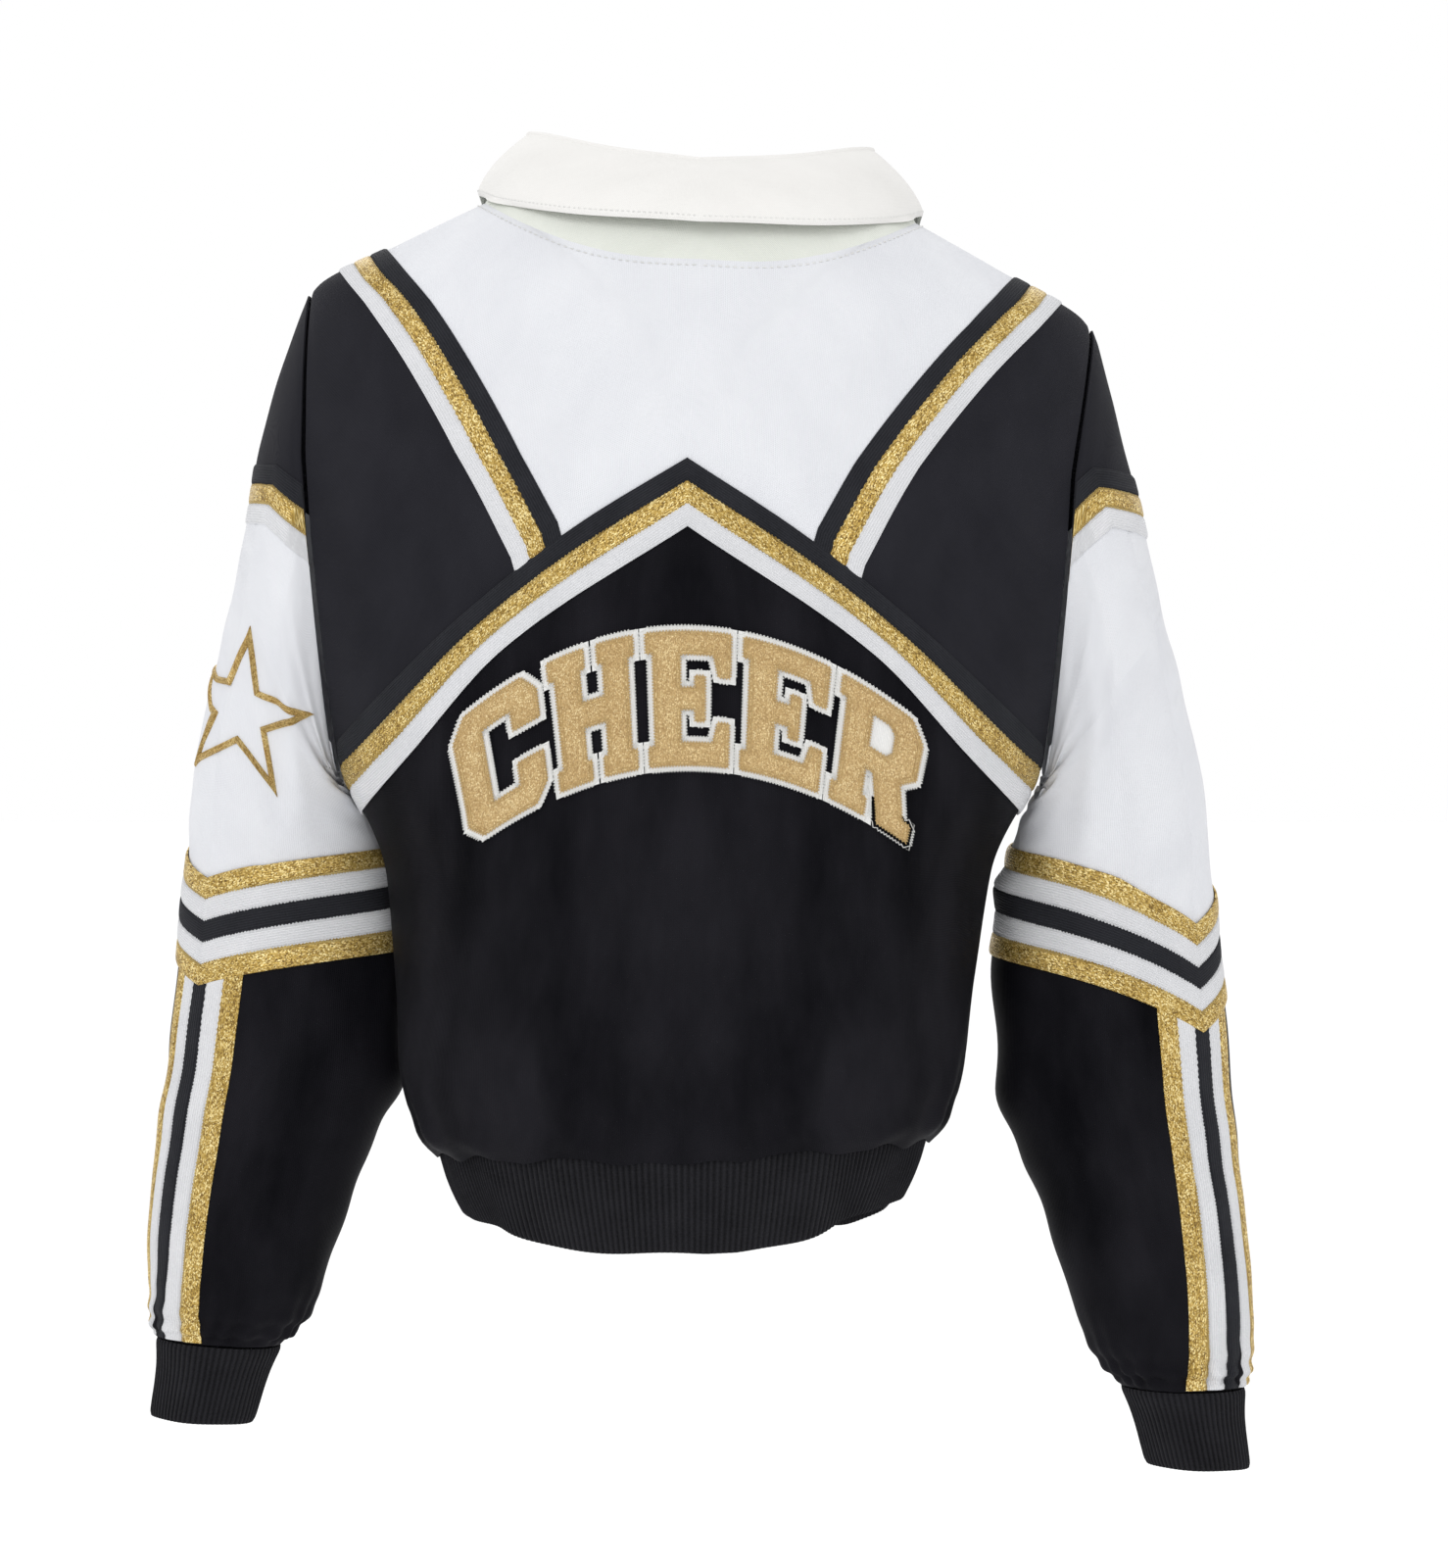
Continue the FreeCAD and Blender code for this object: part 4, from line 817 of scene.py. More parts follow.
def lower_body_block(back):
    """The cloth from the chevron down to the hem, where it puffs out and sags unevenly over the waistband."""
    start_x, cols = start_of(back), 96
    top_line = pattern_line("chevron_middle", start_x, CHEVRON_END_X, cols, back)
    end_turn = RIDGE_TURN if back else -RIDGE_TURN
    hem_start = float(turn_of(start_x, HEM, back))
    hem_line = np.stack([np.linspace(hem_start, end_turn, cols), np.full(cols, HEM)], -1)
    v = np.linspace(0, 1, 130)[:, None, None] ** 0.9
    grid = hem_line[None] * (1 - v) + top_line[None] * v
    if not back:
        grid[:, 0, 0] = turn_of(start_x, grid[:, 0, 1], False)
    outer, inner, weave, slots = cloth_block(torso, grid)
    near_hem = np.clip(1 - (grid[..., 1] - HEM) / 20.0, 0, 1) ** 2
    around = np.radians(grid[..., 0]) * 118.0
    sag = 3.4 + 2.6 * wave_noise(around, 0 * around, 9 + back, 46, 2)
    puff = 1 + near_hem * 0.022 * (1 - near_hem) * 4 + near_hem * 0.012
    for skin in (outer, inner):
        skin[..., 2] -= near_hem * np.clip(sag, 0.5, 8.0)
        skin[..., :2] *= puff[..., None]
    return outer, inner, weave, slots


for half_name, back in HALVES:
    v_side = rising_line("v_middle", PANEL_ROWS, back)
    yoke = yoke_blocks(back, v_side)
    torso_pieces("yoke_" + half_name, half_name + "_yoke", yoke, [WHITE_CLOTH], back, "stretched")
    panel = [side_panel_block(back, v_side)]
    torso_pieces(
        "side_panel_" + half_name, half_name + "_side_panel", panel, [UPPER_BLACK], False, "stretched",
    )
    lower = [lower_body_block(back)]
    torso_pieces("body_" + half_name, half_name + "_body_panel", lower, [LOWER_BLACK], back, "gathered")

# ---- braid


CELLS = 8  # columns of faces in one stripe
ROUNDING = 0.75  # how much lower a stripe is at its edges


def stripe_profile(stripes):
    """Positions across a braid (0 to 1), their height share and the stripe of each strip of faces."""
    spots, heights, slots = [], [], []
    for index in range(stripes):
        for k in range(0 if index == 0 else 1, CELLS + 1):
            f = k / float(CELLS)
            spots.append((index + f) / stripes)
            heights.append(1 - ROUNDING * abs(2 * f - 1) ** 6)
        slots += [index] * CELLS
    return np.array(spots), np.array(heights), np.array(slots)


RAGGED = 0.03  # zigzag of the lines between stripes, as a share of a stripe


def braid_grid(start_line, end_line, rows, stripes):
    """(a, b) grid of a braid: rows run along it and columns across, from the start line to the end line."""
    spots, heights, slots = stripe_profile(stripes)
    first = fine(start_line, rows)
    last = fine(end_line, rows)
    spots_grid = np.broadcast_to(spots, (rows, len(spots))).copy()
    swing = np.where(np.arange(rows) % 2 == 0, 1, -1) * RAGGED / stripes
    for j in range(CELLS, len(spots) - 1, CELLS):
        spots_grid[:, j] += swing * (1 + 0.5 * rng.uniform(-1, 1, rows))
    f = spots_grid[..., None]
    grid = first[:, None] * (1 - f) + last[:, None] * f
    return grid, np.broadcast_to(heights, (rows, len(spots))), slots


BRAID_THICK = 0.95
BRAID_SINK = 0.35


def braid_block(surface, grid, heights, slots, low=0.25):
    outer = surface(grid[..., 0], grid[..., 1], low + BRAID_THICK * heights)
    inner = surface(grid[..., 0], grid[..., 1], low - BRAID_SINK)
    return outer, inner, arc_lengths(outer), slots


THREE = [BLACK_BRAID, GOLD_BRAID, WHITE_BRAID]
FIVE = [GOLD_BRAID, WHITE_BRAID, BLACK_BRAID, WHITE_BRAID, GOLD_BRAID]
V_TUCK = 6.0  # the foot of the V lies this far under the chevron
for half_name, back in HALVES:
    v_lines = [rising_line(name, 60, back) for name in ("v_inner", "v_outer")]
    for line in v_lines:
        line[0, 1] -= V_TUCK
    block = braid_block(torso, *braid_grid(*v_lines, 170, 3))
    torso_pieces("braid_v_" + half_name, half_name + "_v_braid", [block], THREE, False)
    names = ("chevron_top", "chevron_bottom")
    chevron_lines = [pattern_line(name, start_of(back), LINES[name][-1][0], 80, back) for name in names]
    block = braid_block(torso, *braid_grid(*chevron_lines, 210, 3), low=0.7)
    torso_pieces("braid_chevron_" + half_name, half_name + "_chevron_braid", [block], THREE, back)

# ---- sleeves


HEAD_END = 2.0
SLEEVE_END = 10.0


def away(turn):
    """0 on the outseam, 1 on the far side of the sleeve."""
    return np.abs((turn - OUTSEAM + 180.0) % 360.0 - 180.0) / 180.0


# Height of the level part of the cap seam, slant below it, and x where the slant starts, for each side.
CAP_SHAPE = {1: (-157.0, 0.62, 215.0), -1: (-145.0, 1.05, 210.0)}
CAP_END = 86.0
ELBOW_PLACE = 5.38
ELBOW_RISE = {1: 0.34, -1: 0.56}


def cap_line(turn, side):
    """Cap seam: level over the top of the sleeve, then a straight slant down to the armhole on both faces."""
    peak, slant, corner = CAP_SHAPE[side]
    turn = np.abs((np.asarray(turn, float) + 180.0) % 360.0 - 180.0)
    low, high = np.zeros(turn.shape), np.full(turn.shape, HEAD_END)
    for _ in range(30):
        middle = (low + high) / 2
        point = sleeve_base(turn, middle)
        line = peak - slant * np.maximum(corner - point[..., 0], 0)
        above = point[..., 2] > line
        low, high = np.where(above, middle, low), np.where(above, high, middle)
    return np.maximum(low, 0.03)


def elbow_line(turn, side):
    """Elbow seam: a V with its point at the outseam."""
    return ELBOW_PLACE - ELBOW_RISE[side] * np.sin(math.pi * 0.5 * away(turn))


OUTSEAM_TURNS = {1: (42.0, 42.0, 42.0, 37.0, 30.0), -1: (42.0, 39.0, 42.0, 42.0, 43.0)}


def outseam_turn(place, side):
    """Where the outseam runs on each limp sleeve, which hangs a little twisted."""
    return np.interp(place, (0.0, 4.6, 5.6, 7.5, 10.0), OUTSEAM_TURNS[side])


def twisted(turn, place, side):
    """Turn round a sleeve measured from its twisted outseam."""
    return turn + outseam_turn(place, side) - OUTSEAM


# The sleeve pieces, which the uneven hang below tilts apart from the body.
sleeve_pieces = []


def sleeve_blend(obj):
    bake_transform(obj)
    sleeve_pieces.append(obj)


def sleeve_piece(name, node, block, materials, side_name, held=None):
    obj = shell("%s_%s" % (name, side_name), [block], materials)
    if held:
        declare(obj, [block])
    sleeve_blend(obj)
    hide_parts("%s_%s" % (node, side_name))


def sleeve_ring(low_place, high_place, rows, side, turns):
    v = np.linspace(0, 1, rows)[:, None]
    places = low_place(turns)[None] * (1 - v) + high_place(turns)[None] * v
    return np.stack([twisted(turns[None], places, side), places], -1)


def level(place):
    """A seam straight round the sleeve."""
    return lambda turns: place + 0 * turns


STATIONS = np.linspace(0.0, SLEEVE_END, 801)
THREE_STRIPE_REACH = 16.0  # half width of a band, mm
FIVE_STRIPE_REACH = 28.5
RUN_OFF = 8  # rows over which the slant of a band is taken where it runs off the cap


def slant_on(middle, turns, inside):
    """Past the armhole the slant runs on, so that the seam cuts the stripes off one after another."""
    for end, step in ((inside[0], RUN_OFF), (inside[-1], -RUN_OFF)):
        rate = (middle[end + step] - middle[end]) / (turns[end + step] - turns[end])
        beyond = turns < turns[end] if step > 0 else turns > turns[end]
        middle = np.where(beyond, middle[end] + rate * (turns - turns[end]), middle)
    return middle


def band_block(surface, line, turns, reach, stripes, side, over_cap):
    """Braid along a seam, laid out in millimetres down the sleeve, so that every stripe keeps its width."""
    points = sleeve_base(turns[:, None], STATIONS[None])
    lengths = np.cumsum(np.linalg.norm(np.diff(points, axis=1, prepend=points[:, :1]), axis=-1), axis=1)
    seam_places = line(turns)
    middle = np.array([np.interp(place, STATIONS, along) for place, along in zip(seam_places, lengths)])
    if over_cap:
        middle = slant_on(middle, turns, np.where(seam_places > 0.04)[0])
    top = np.stack([turns, middle - reach], -1)
    bottom = np.stack([turns, middle + reach], -1)
    grid, heights, slots = braid_grid(top, bottom, len(turns), stripes)
    grid[..., 1] = [np.interp(row, along, STATIONS) for row, along in zip(grid[..., 1], lengths)]
    grid[..., 1] = np.maximum(grid[..., 1], np.linspace(0.015, 0.035, grid.shape[1])[None])
    grid[..., 0] = twisted(grid[..., 0], grid[..., 1], side)
    return braid_block(surface, grid, heights, slots, low=0.25 if over_cap else 1.0)




def outseam_block(surface, side):
    places = np.linspace(5.52, 9.95, 120)
    spread = np.degrees(FIVE_STRIPE_REACH / sleeve_columns(places)[3])
    middle = outseam_turn(places, side)
    first = np.stack([middle + spread, places], -1)
    last = np.stack([middle - spread, places], -1)
    return braid_block(surface, *braid_grid(first, last, 260, 5))


for side, side_name in SIDES:
    surface = functools.partial(sleeve, side=side)
    cap_seam = functools.partial(cap_line, side=side)
    elbow_seam = functools.partial(elbow_line, side=side)
    all_round = OUTSEAM + np.linspace(0, 360.0, 201)
    over_top = np.linspace(-CAP_END, CAP_END, 161)
    cloths = (
        ("cap", "sleeve_cap", level(0.02), cap_seam, 26, over_top, 0.35, UPPER_BLACK),
        ("head", "sleeve_head", cap_seam, level(HEAD_END), 40, all_round, 0.0, WHITE_CLOTH),
        ("upper", "upper_sleeve", level(HEAD_END), elbow_seam, 60, all_round, 0.0, WHITE_CLOTH),
        ("lower", "lower_sleeve", elbow_seam, level(SLEEVE_END), 110, all_round, 0.0, LOWER_BLACK),
    )
    for label, node, low, high, rows, turns, armhole_dip, material in cloths:
        grid = sleeve_ring(low, high, rows, side, turns)
        block = cloth_block(surface, grid, seam_dip(grid, bottom=armhole_dip, left=0.5, right=0.5, reach=1.5))
        sleeve_piece(label + "_cloth", node, block, [material], side_name, "hung")
    turns = np.linspace(-98.0, 98.0, 320)
    block = band_block(surface, cap_seam, turns, THREE_STRIPE_REACH, 3, side, True)
    sleeve_piece("braid_cap", "sleeve_cap_braid", block, THREE, side_name)
    turns = OUTSEAM + np.linspace(0, 360.0, 420)
    block = band_block(surface, elbow_seam, turns, FIVE_STRIPE_REACH, 5, side, False)
    sleeve_piece("braid_elbow", "elbow_braid", block, FIVE, side_name)
    sleeve_piece("braid_outseam", "outseam_braid", outseam_block(surface, side), FIVE, side_name)

# ---- ribs


RIB_STEPS = 6  # columns of faces in one rib
RIB_THICK = 2.2


def rib_tube(point_at, turns, rows, perimeter, depth):
    """Ribbed tube; point_at(turn, f, lift) gives points from the top (f 0) to the bottom (f 1)."""
    steps = int(round(perimeter / RIB_PITCH)) * RIB_STEPS
    turn_grid, f_grid = np.meshgrid(np.linspace(turns[0], turns[1], steps + 1), np.linspace(0, 1, rows))
    profile = depth * (np.abs(np.sin(np.arange(steps + 1) / RIB_STEPS * math.pi)) - 0.55)
    wobble = 0.15 * wave_noise(np.arange(steps + 1)[None] * 0.3 + 0 * f_grid, f_grid * 60, 3, 40, 2)
    edge = np.minimum(f_grid, 1 - f_grid) * rows
    round_off = -0.8 * np.exp(-(edge / 0.8) ** 2)
    outer = point_at(turn_grid, f_grid, profile[None] + wobble + round_off)
    inner = point_at(turn_grid, f_grid, -RIB_THICK - 0.3 * profile[None] - round_off)
    weave = arc_lengths(outer)
    # Across, the cloth coordinate counts ribs, so that the material's cords sit on them.
    weave[..., 0] = (np.arange(steps + 1) / RIB_STEPS - 0.25)[None] * RIB_PITCH
    return outer, inner, weave, 0


def waist_at(turn, f, lift):
    turn = np.where(turn > 180, turn - 360, turn)
    height = WAIST[0, 0] + (WAIST[-1, 0] - WAIST[0, 0]) * f
    half, back, front = columns(WAIST, height)
    depth = np.where(turn >= 0, back, front)
    angle = np.radians(turn)
    ripple = 1.3 * np.sin(angle * 9 + 0.7) * (0.25 + 0.75 * f) + 0.8 * np.sin(angle * 17 + 2.0)
    grow = 1 + (lift + ripple * np.clip(np.abs(turn + 90) / 8, 0, 1)) / 100.0
    # The lower edge lifts at the sides, where the knit pulls in.
    rise = 17.0 * np.cos(angle) ** 2 * f ** 1.3 + 2.0 * wave_noise(angle * 100, 0 * angle, 21, 90, 2) * f
    rise = np.clip(rise, 0.0, 22.0)
    return np.stack([half * np.cos(angle) * grow, depth * np.sin(angle) * grow, height + rise], -1)


gap = math.degrees(math.asin(FRONT_OPENING / 120.0))
block = rib_tube(waist_at, (-90.0 + gap, 270.0 - gap), 26, 660.0, 0.7)
waistband = shell("waistband_rib", [block], [BLACK_RIB])
declare(waistband, [block])
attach(waistband, "torso")
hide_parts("waistband")


def cuff_at(turn, f, lift, side):
    height = CUFF[0, 1] + (CUFF[-1, 1] - CUFF[0, 1]) * f
    across, forward, half, depth, tilt = [smooth(CUFF[:, 1], CUFF[:, i], height) for i in (0, 2, 3, 4, 5)]
    grow = lift + 0.7 * np.sin(np.radians(turn) * 5 + side) * f
    point = tube_point(turn, across, height, forward, half + grow, depth + grow, tilt)
    return point * np.array((side, 1.0, 1.0))


for side, side_name in SIDES:
    block = rib_tube(functools.partial(cuff_at, side=side), (OUTSEAM, OUTSEAM + 360.0), 22, 178.0, 0.6)
    sleeve_piece("cuff_rib", "cuff", block, [BLACK_RIB], side_name, "stretched")

# ---- collar


def collar_frame(turns):
    roll = np.stack(columns(ROLL, turns), -1)
    edge = np.stack(columns(EDGE, turns), -1)
    out = np.stack([np.cos(np.radians(turns)), np.sin(np.radians(turns)), 0 * turns], -1)
    return roll, edge, out


def push_clear(points, clearance):
    """The points, kept off the body by about that many mm."""
    half, back, front = columns(TORSO, np.minimum(points[..., 2], 6.0))
    depth = np.where(points[..., 1] >= 0, back, front)
    reach = np.sqrt((points[..., 0] / half) ** 2 + (points[..., 1] / depth) ** 2)
    wanted = 1 + clearance / 100.0
    scale = np.where((reach < wanted) & (points[..., 2] < 5), wanted / np.maximum(reach, 1e-6), 1.0)
    points = points.copy()
    points[..., 0] *= scale
    points[..., 1] *= scale
    return points


def leaf_at(turns, f, lift):
    """Collar leaf from the roll (f 0) to its free edge (f 1)."""
    roll, edge, out = collar_frame(turns)
    f = f[..., None]
    top = roll * np.array((1.02, 1.02, 1.0)) + np.array((0, 0, 2.0))
    bulge = 4.5 * np.sin(math.pi * np.clip(f, 0, 1)) ** 0.8
    point = top * (1 - f) + edge * f + out * bulge
    soft = 0.9 * wave_noise(turns * 1.1, f[..., 0] * 30, 4, 60, 2) * f[..., 0]
    point = push_clear(point, 4.5)
    up = np.array((0, 0, 0.5))
    direction = (out + up) / np.linalg.norm(out + up, axis=-1, keepdims=True)
    return point + direction * (lift + soft)[..., None]


def stand_at(turns, f, lift):
    roll, _, out = collar_frame(turns)
    seam_turns = neck_points(turns[0])
    foot = torso(seam_turns[:, 0], seam_turns[:, 1] - 1.6, -0.2)[None]
    top = roll + np.array((0, 0, -1.0))
    f = f[..., None]
    bow = 1.8 * np.sin(math.pi * f)
    return foot * (1 - f) + top * f + out * (lift[..., None] + bow)


COLLAR_START = -86.5
ROLL_ROWS = 12
collar_turns = np.linspace(COLLAR_START, 90.0, 150)
turn_grid, f_grid = np.meshgrid(collar_turns, np.linspace(0, 1, 30))
# How full the two plies are: they thin out to the free edge and to the front end.
fullness = np.minimum(1.0, (1 - f_grid) * 14) ** 0.5 * np.clip((turn_grid - COLLAR_START) / 2.2, 0, 1) ** 0.5
leaf_outer = leaf_at(turn_grid, f_grid, 1.15 * fullness)
leaf_inner = leaf_at(turn_grid, f_grid, -0.1)
under_inner = leaf_at(turn_grid, f_grid, -1.3 * fullness)
# The leaf turns over the top of the stand in a round roll, from inside the neck.
roll, _, out = collar_frame(collar_turns)
top_row = leaf_outer[0]
inside = roll * np.array((0.95, 0.95, 1.0)) + np.array((0, 0, -5.0))
arc = []
for k in range(ROLL_ROWS):
    f = k / float(ROLL_ROWS)
    share = math.sin(math.pi * 0.5 * f)
    arc.append(inside * (1 - share) + top_row * share + np.array((0, 0, 3.2)) * math.sin(math.pi * f))
arc = np.array(arc)
rolled = np.concatenate([arc, leaf_outer])
rolled_under = np.concatenate([arc - np.array((0, 0, 0.9)) - out * 0.2, leaf_inner])
leaf_block = (rolled, rolled_under, arc_lengths(rolled), 0)
torso_pieces("collar_leaf", "collar_top_leaf", [leaf_block], [COLLAR_CLOTH], True, "folded")
under_block = (leaf_inner, under_inner, arc_lengths(leaf_inner), 0)
torso_pieces("collar_under_side", "collar_under_leaf", [under_block], [SHADED_UNDER_CLOTH], True, "folded")
turn_grid, f_grid = np.meshgrid(collar_turns, np.linspace(0, 1, 14))
stand_outer = stand_at(turn_grid, f_grid, 0 * f_grid)
stand_block = (stand_outer, stand_at(turn_grid, f_grid, 0 * f_grid - 1.4), arc_lengths(stand_outer), 0)
torso_pieces("collar_band", "collar_stand", [stand_block], [SHADED_UNDER_CLOTH], True, "stretched")

# ---- stitching


def tube_set(name, segments, radius, material, sides=5):
    """Many short threads in one mesh; each segment is a list of points in mm."""
    verts, faces, weave = [], [], []
    base = 0
    for number, points in enumerate(segments):
        points = np.asarray(points, float)
        count = len(points)
        tangent = np.gradient(points, axis=0)
        tangent /= np.maximum(np.linalg.norm(tangent, axis=1, keepdims=True), 1e-9)
        helper = np.array((0.3, 0.2, 0.93)) if abs(tangent[0, 2]) < 0.8 else np.array((1.0, 0.1, 0.0))
        first = np.cross(tangent, helper)
        first /= np.maximum(np.linalg.norm(first, axis=1, keepdims=True), 1e-9)
        second = np.cross(tangent, first)
        angles = np.linspace(0, 2 * math.pi, sides, endpoint=False)
        thin = np.ones(count)
        if count > 3:
            thin[0] = thin[-1] = 0.35
        ring = points[:, None] + radius * thin[:, None, None] * (
            first[:, None] * np.cos(angles)[None, :, None] + second[:, None] * np.sin(angles)[None, :, None]
        )
        verts.append(ring.reshape(-1, 3))
        around = np.broadcast_to(angles * radius, (count, sides))
        along = np.broadcast_to(np.arange(count)[:, None] * 0.5, (count, sides))
        weave.append(np.stack([around, along, np.full((count, sides), number * 0.37)], -1).reshape(-1, 3))
        index = np.arange(count * sides).reshape(count, sides) + base
        right = np.roll(index, -1, axis=1)
        faces += np.stack([index[:-1], right[:-1], right[1:], index[1:]], -1).reshape(-1, 4).tolist()
        faces.append(index[0, ::-1].tolist())
        faces.append(index[-1].tolist())
        base += count * sides
    return new_object(name, np.concatenate(verts) * MM, faces, [material], np.concatenate(weave))


def running_stitch(points, normals, length, space, sink=0.25):
    """Threads that dip into the cloth at both ends, along a line of (points, normals)."""
    joined = np.concatenate([points, normals], axis=1)
    lengths = np.concatenate([[0], np.cumsum(np.linalg.norm(np.diff(points, axis=0), axis=-1))])
    segments = []
    spot = 0.5
    while spot + length < lengths[-1]:
        at = np.linspace(spot, spot + length, 5)
        sample = np.stack([np.interp(at, lengths, joined[:, i]) for i in range(6)], -1)
        height = np.array((-sink, 0.12, 0.2, 0.12, -sink))[:, None]
        segments.append(sample[:, :3] + sample[:, 3:] * height)
        spot += length + space
    return segments


seam = neck_points(np.linspace(-84, 90.0, 120))
seam_line, seam_above = [torso(seam[:, 0], seam[:, 1] - 3.2, lift) for lift in (0.15, 1.15)]
edge_turns = np.linspace(-86.0, 90.0, 160)
edge_line, edge_above = [leaf_at(edge_turns, np.full(160, 0.93), np.full(160, lift)) for lift in (1.0, 2.0)]
stitches = running_stitch(seam_line, seam_above - seam_line, 2.4, 1.3)
stitches += running_stitch(edge_line, edge_above - edge_line, 2.0, 0.8)
stitches += [segment * np.array((-1.0, 1.0, 1.0)) for segment in stitches]
obj = tube_set("neck_topstitch", stitches, 0.32, WHITE_THREAD)
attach(obj, "torso")

# ---- letters

# Outlines as shares of a letter's width and height, the outer one first.
GLYPHS = {
    "C": [
        [
            (0.0, 0.14), (0.16, 0.0), (0.84, 0.0), (1.0, 0.14), (1.0, 0.38), (0.68, 0.38), (0.68, 0.2),
            (0.32, 0.2), (0.32, 0.8), (0.68, 0.8), (0.68, 0.64), (1.0, 0.64), (1.0, 0.86), (0.84, 1.0),
            (0.16, 1.0), (0.0, 0.86),
        ],
    ],
    "H": [
        [
            (0.0, 0.0), (0.42, 0.0), (0.42, 0.15), (0.36, 0.15), (0.36, 0.41), (0.64, 0.41), (0.64, 0.15),
            (0.58, 0.15), (0.58, 0.0), (1.0, 0.0), (1.0, 0.15), (0.93, 0.15), (0.93, 0.85), (1.0, 0.85),
            (1.0, 1.0), (0.58, 1.0), (0.58, 0.85), (0.64, 0.85), (0.64, 0.6), (0.36, 0.6), (0.36, 0.85),
            (0.42, 0.85), (0.42, 1.0), (0.0, 1.0), (0.0, 0.85), (0.07, 0.85), (0.07, 0.15), (0.0, 0.15),
        ],
    ],
    "E": [
        [
            (0.0, 0.0), (1.0, 0.0), (1.0, 0.33), (0.86, 0.33), (0.8, 0.17), (0.4, 0.17), (0.4, 0.42),
            (0.58, 0.42), (0.58, 0.33), (0.7, 0.33), (0.7, 0.67), (0.58, 0.67), (0.58, 0.58), (0.4, 0.58),
            (0.4, 0.83), (0.8, 0.83), (0.86, 0.67), (1.0, 0.67), (1.0, 1.0), (0.0, 1.0), (0.0, 0.85),
            (0.08, 0.85), (0.08, 0.15), (0.0, 0.15),
        ],
    ],
    "R": [
        [
            (0.0, 0.0), (0.44, 0.0), (0.44, 0.15), (0.38, 0.15), (0.38, 0.38), (0.48, 0.38), (0.62, 0.0),
            (1.0, 0.0), (1.0, 0.15), (0.9, 0.15), (0.8, 0.42), (0.97, 0.54), (0.97, 0.86), (0.82, 1.0),
            (0.0, 1.0), (0.0, 0.85), (0.08, 0.85), (0.08, 0.15), (0.0, 0.15),
        ],
        [
            (0.38, 0.56), (0.38, 0.83), (0.6, 0.83), (0.67, 0.77), (0.67, 0.62), (0.6, 0.56),
        ],
    ],
}
WORD = (
    ("C", "letter_c"), ("H", "letter_h"), ("E", "letter_e_first"),
    ("E", "letter_e_second"), ("R", "letter_r"),
)
LETTER_WIDE = 40.5
LETTER_PITCH = 46.6
LETTER_HIGH = 66.0


def arch(x, v):
    """Front-view x and z of a point of the word: x runs to the reader's right, v from 0 at the foot to 1."""
    share = np.abs(x) / 115.0
    foot = -287.0 - 40.0 * share ** 2
    head = -221.0 - 50.0 * share ** 2
    z = foot + (head - foot) * v
    return -(x * (0.945 + 0.10 * v)), z


def on_back(x, z, lift):
    return torso(turn_of(x, z, True), z, lift)


PATCH_CELL = 3.5


def patch_mesh(name, outlines, grow, low, high, material):
    """Flat applique from outlines in word millimetres, cut into small cells and laid on the back."""
    data = bpy.data.curves.new(name, "CURVE")
    data.dimensions = "2D"
    data.fill_mode = "BOTH"
    for outline in outlines:
        spline = data.splines.new("POLY")
        spline.points.add(len(outline) - 1)
        for point, (x, y) in zip(spline.points, outline):
            point.co = (x * MM, y * MM, 0, 1)
        spline.use_cyclic_u = True
    data.offset = grow * MM
    data.extrude = (high - low) / 2 * MM
    curve = bpy.data.objects.new(name + "_curve", data)
    bpy.context.scene.collection.objects.link(curve)
    bpy.context.view_layer.update()
    mesh = bpy.data.meshes.new_from_object(curve.evaluated_get(bpy.context.evaluated_depsgraph_get()))
    bpy.data.objects.remove(curve)
    bpy.data.curves.remove(data)
    bm = bmesh.new()
    bm.from_mesh(mesh)
    bmesh.ops.remove_doubles(bm, verts=bm.verts, dist=1e-6)
    xs = [v.co.x for v in bm.verts]
    ys = [v.co.y for v in bm.verts]
    for axis, lo, hi in (((1, 0, 0), min(xs), max(xs)), ((0, 1, 0), min(ys), max(ys))):
        steps = int((hi - lo) / (PATCH_CELL * MM))
        for k in range(1, steps + 1):
            at = lo + (hi - lo) * k / (steps + 1.0)
            co = tuple(at * a for a in axis)
            everything = bm.verts[:] + bm.edges[:] + bm.faces[:]
            bmesh.ops.bisect_plane(bm, geom=everything, plane_co=co, plane_no=axis, dist=1e-7)
    bm.to_mesh(mesh)
    bm.free()
    count = len(mesh.vertices)
    co = np.empty(count * 3)
    mesh.vertices.foreach_get("co", co)
    co = co.reshape(-1, 3) / MM
    x, z = arch(co[:, 0], co[:, 1] / LETTER_HIGH)
    placed = on_back(x, z, (low + high) / 2 + co[:, 2]) * MM
    mesh.vertices.foreach_set("co", placed.ravel())
    mesh.materials.clear()
    mesh.materials.append(material)
    mesh.update()
    weave = np.stack([co[:, 0], co[:, 1], np.full(count, len(name) * 3.1)], -1)
    return finished(name, mesh, weave, 40.0)


def outline_points(outline, step):
    closed = np.array(outline + [outline[0]], float)
    lengths = np.concatenate([[0], np.cumsum(np.linalg.norm(np.diff(closed, axis=0), axis=1))])
    count = int(lengths[-1] / step) // 2 * 2
    spots = np.linspace(0, lengths[-1], count, endpoint=False)
    points = np.stack([np.interp(spots, lengths, closed[:, i]) for i in range(2)], -1)
    ahead = np.roll(points, -1, axis=0) - np.roll(points, 1, axis=0)
    normal = np.stack([ahead[:, 1], -ahead[:, 0]], -1)
    return points, normal / np.maximum(np.linalg.norm(normal, axis=1, keepdims=True), 1e-9)


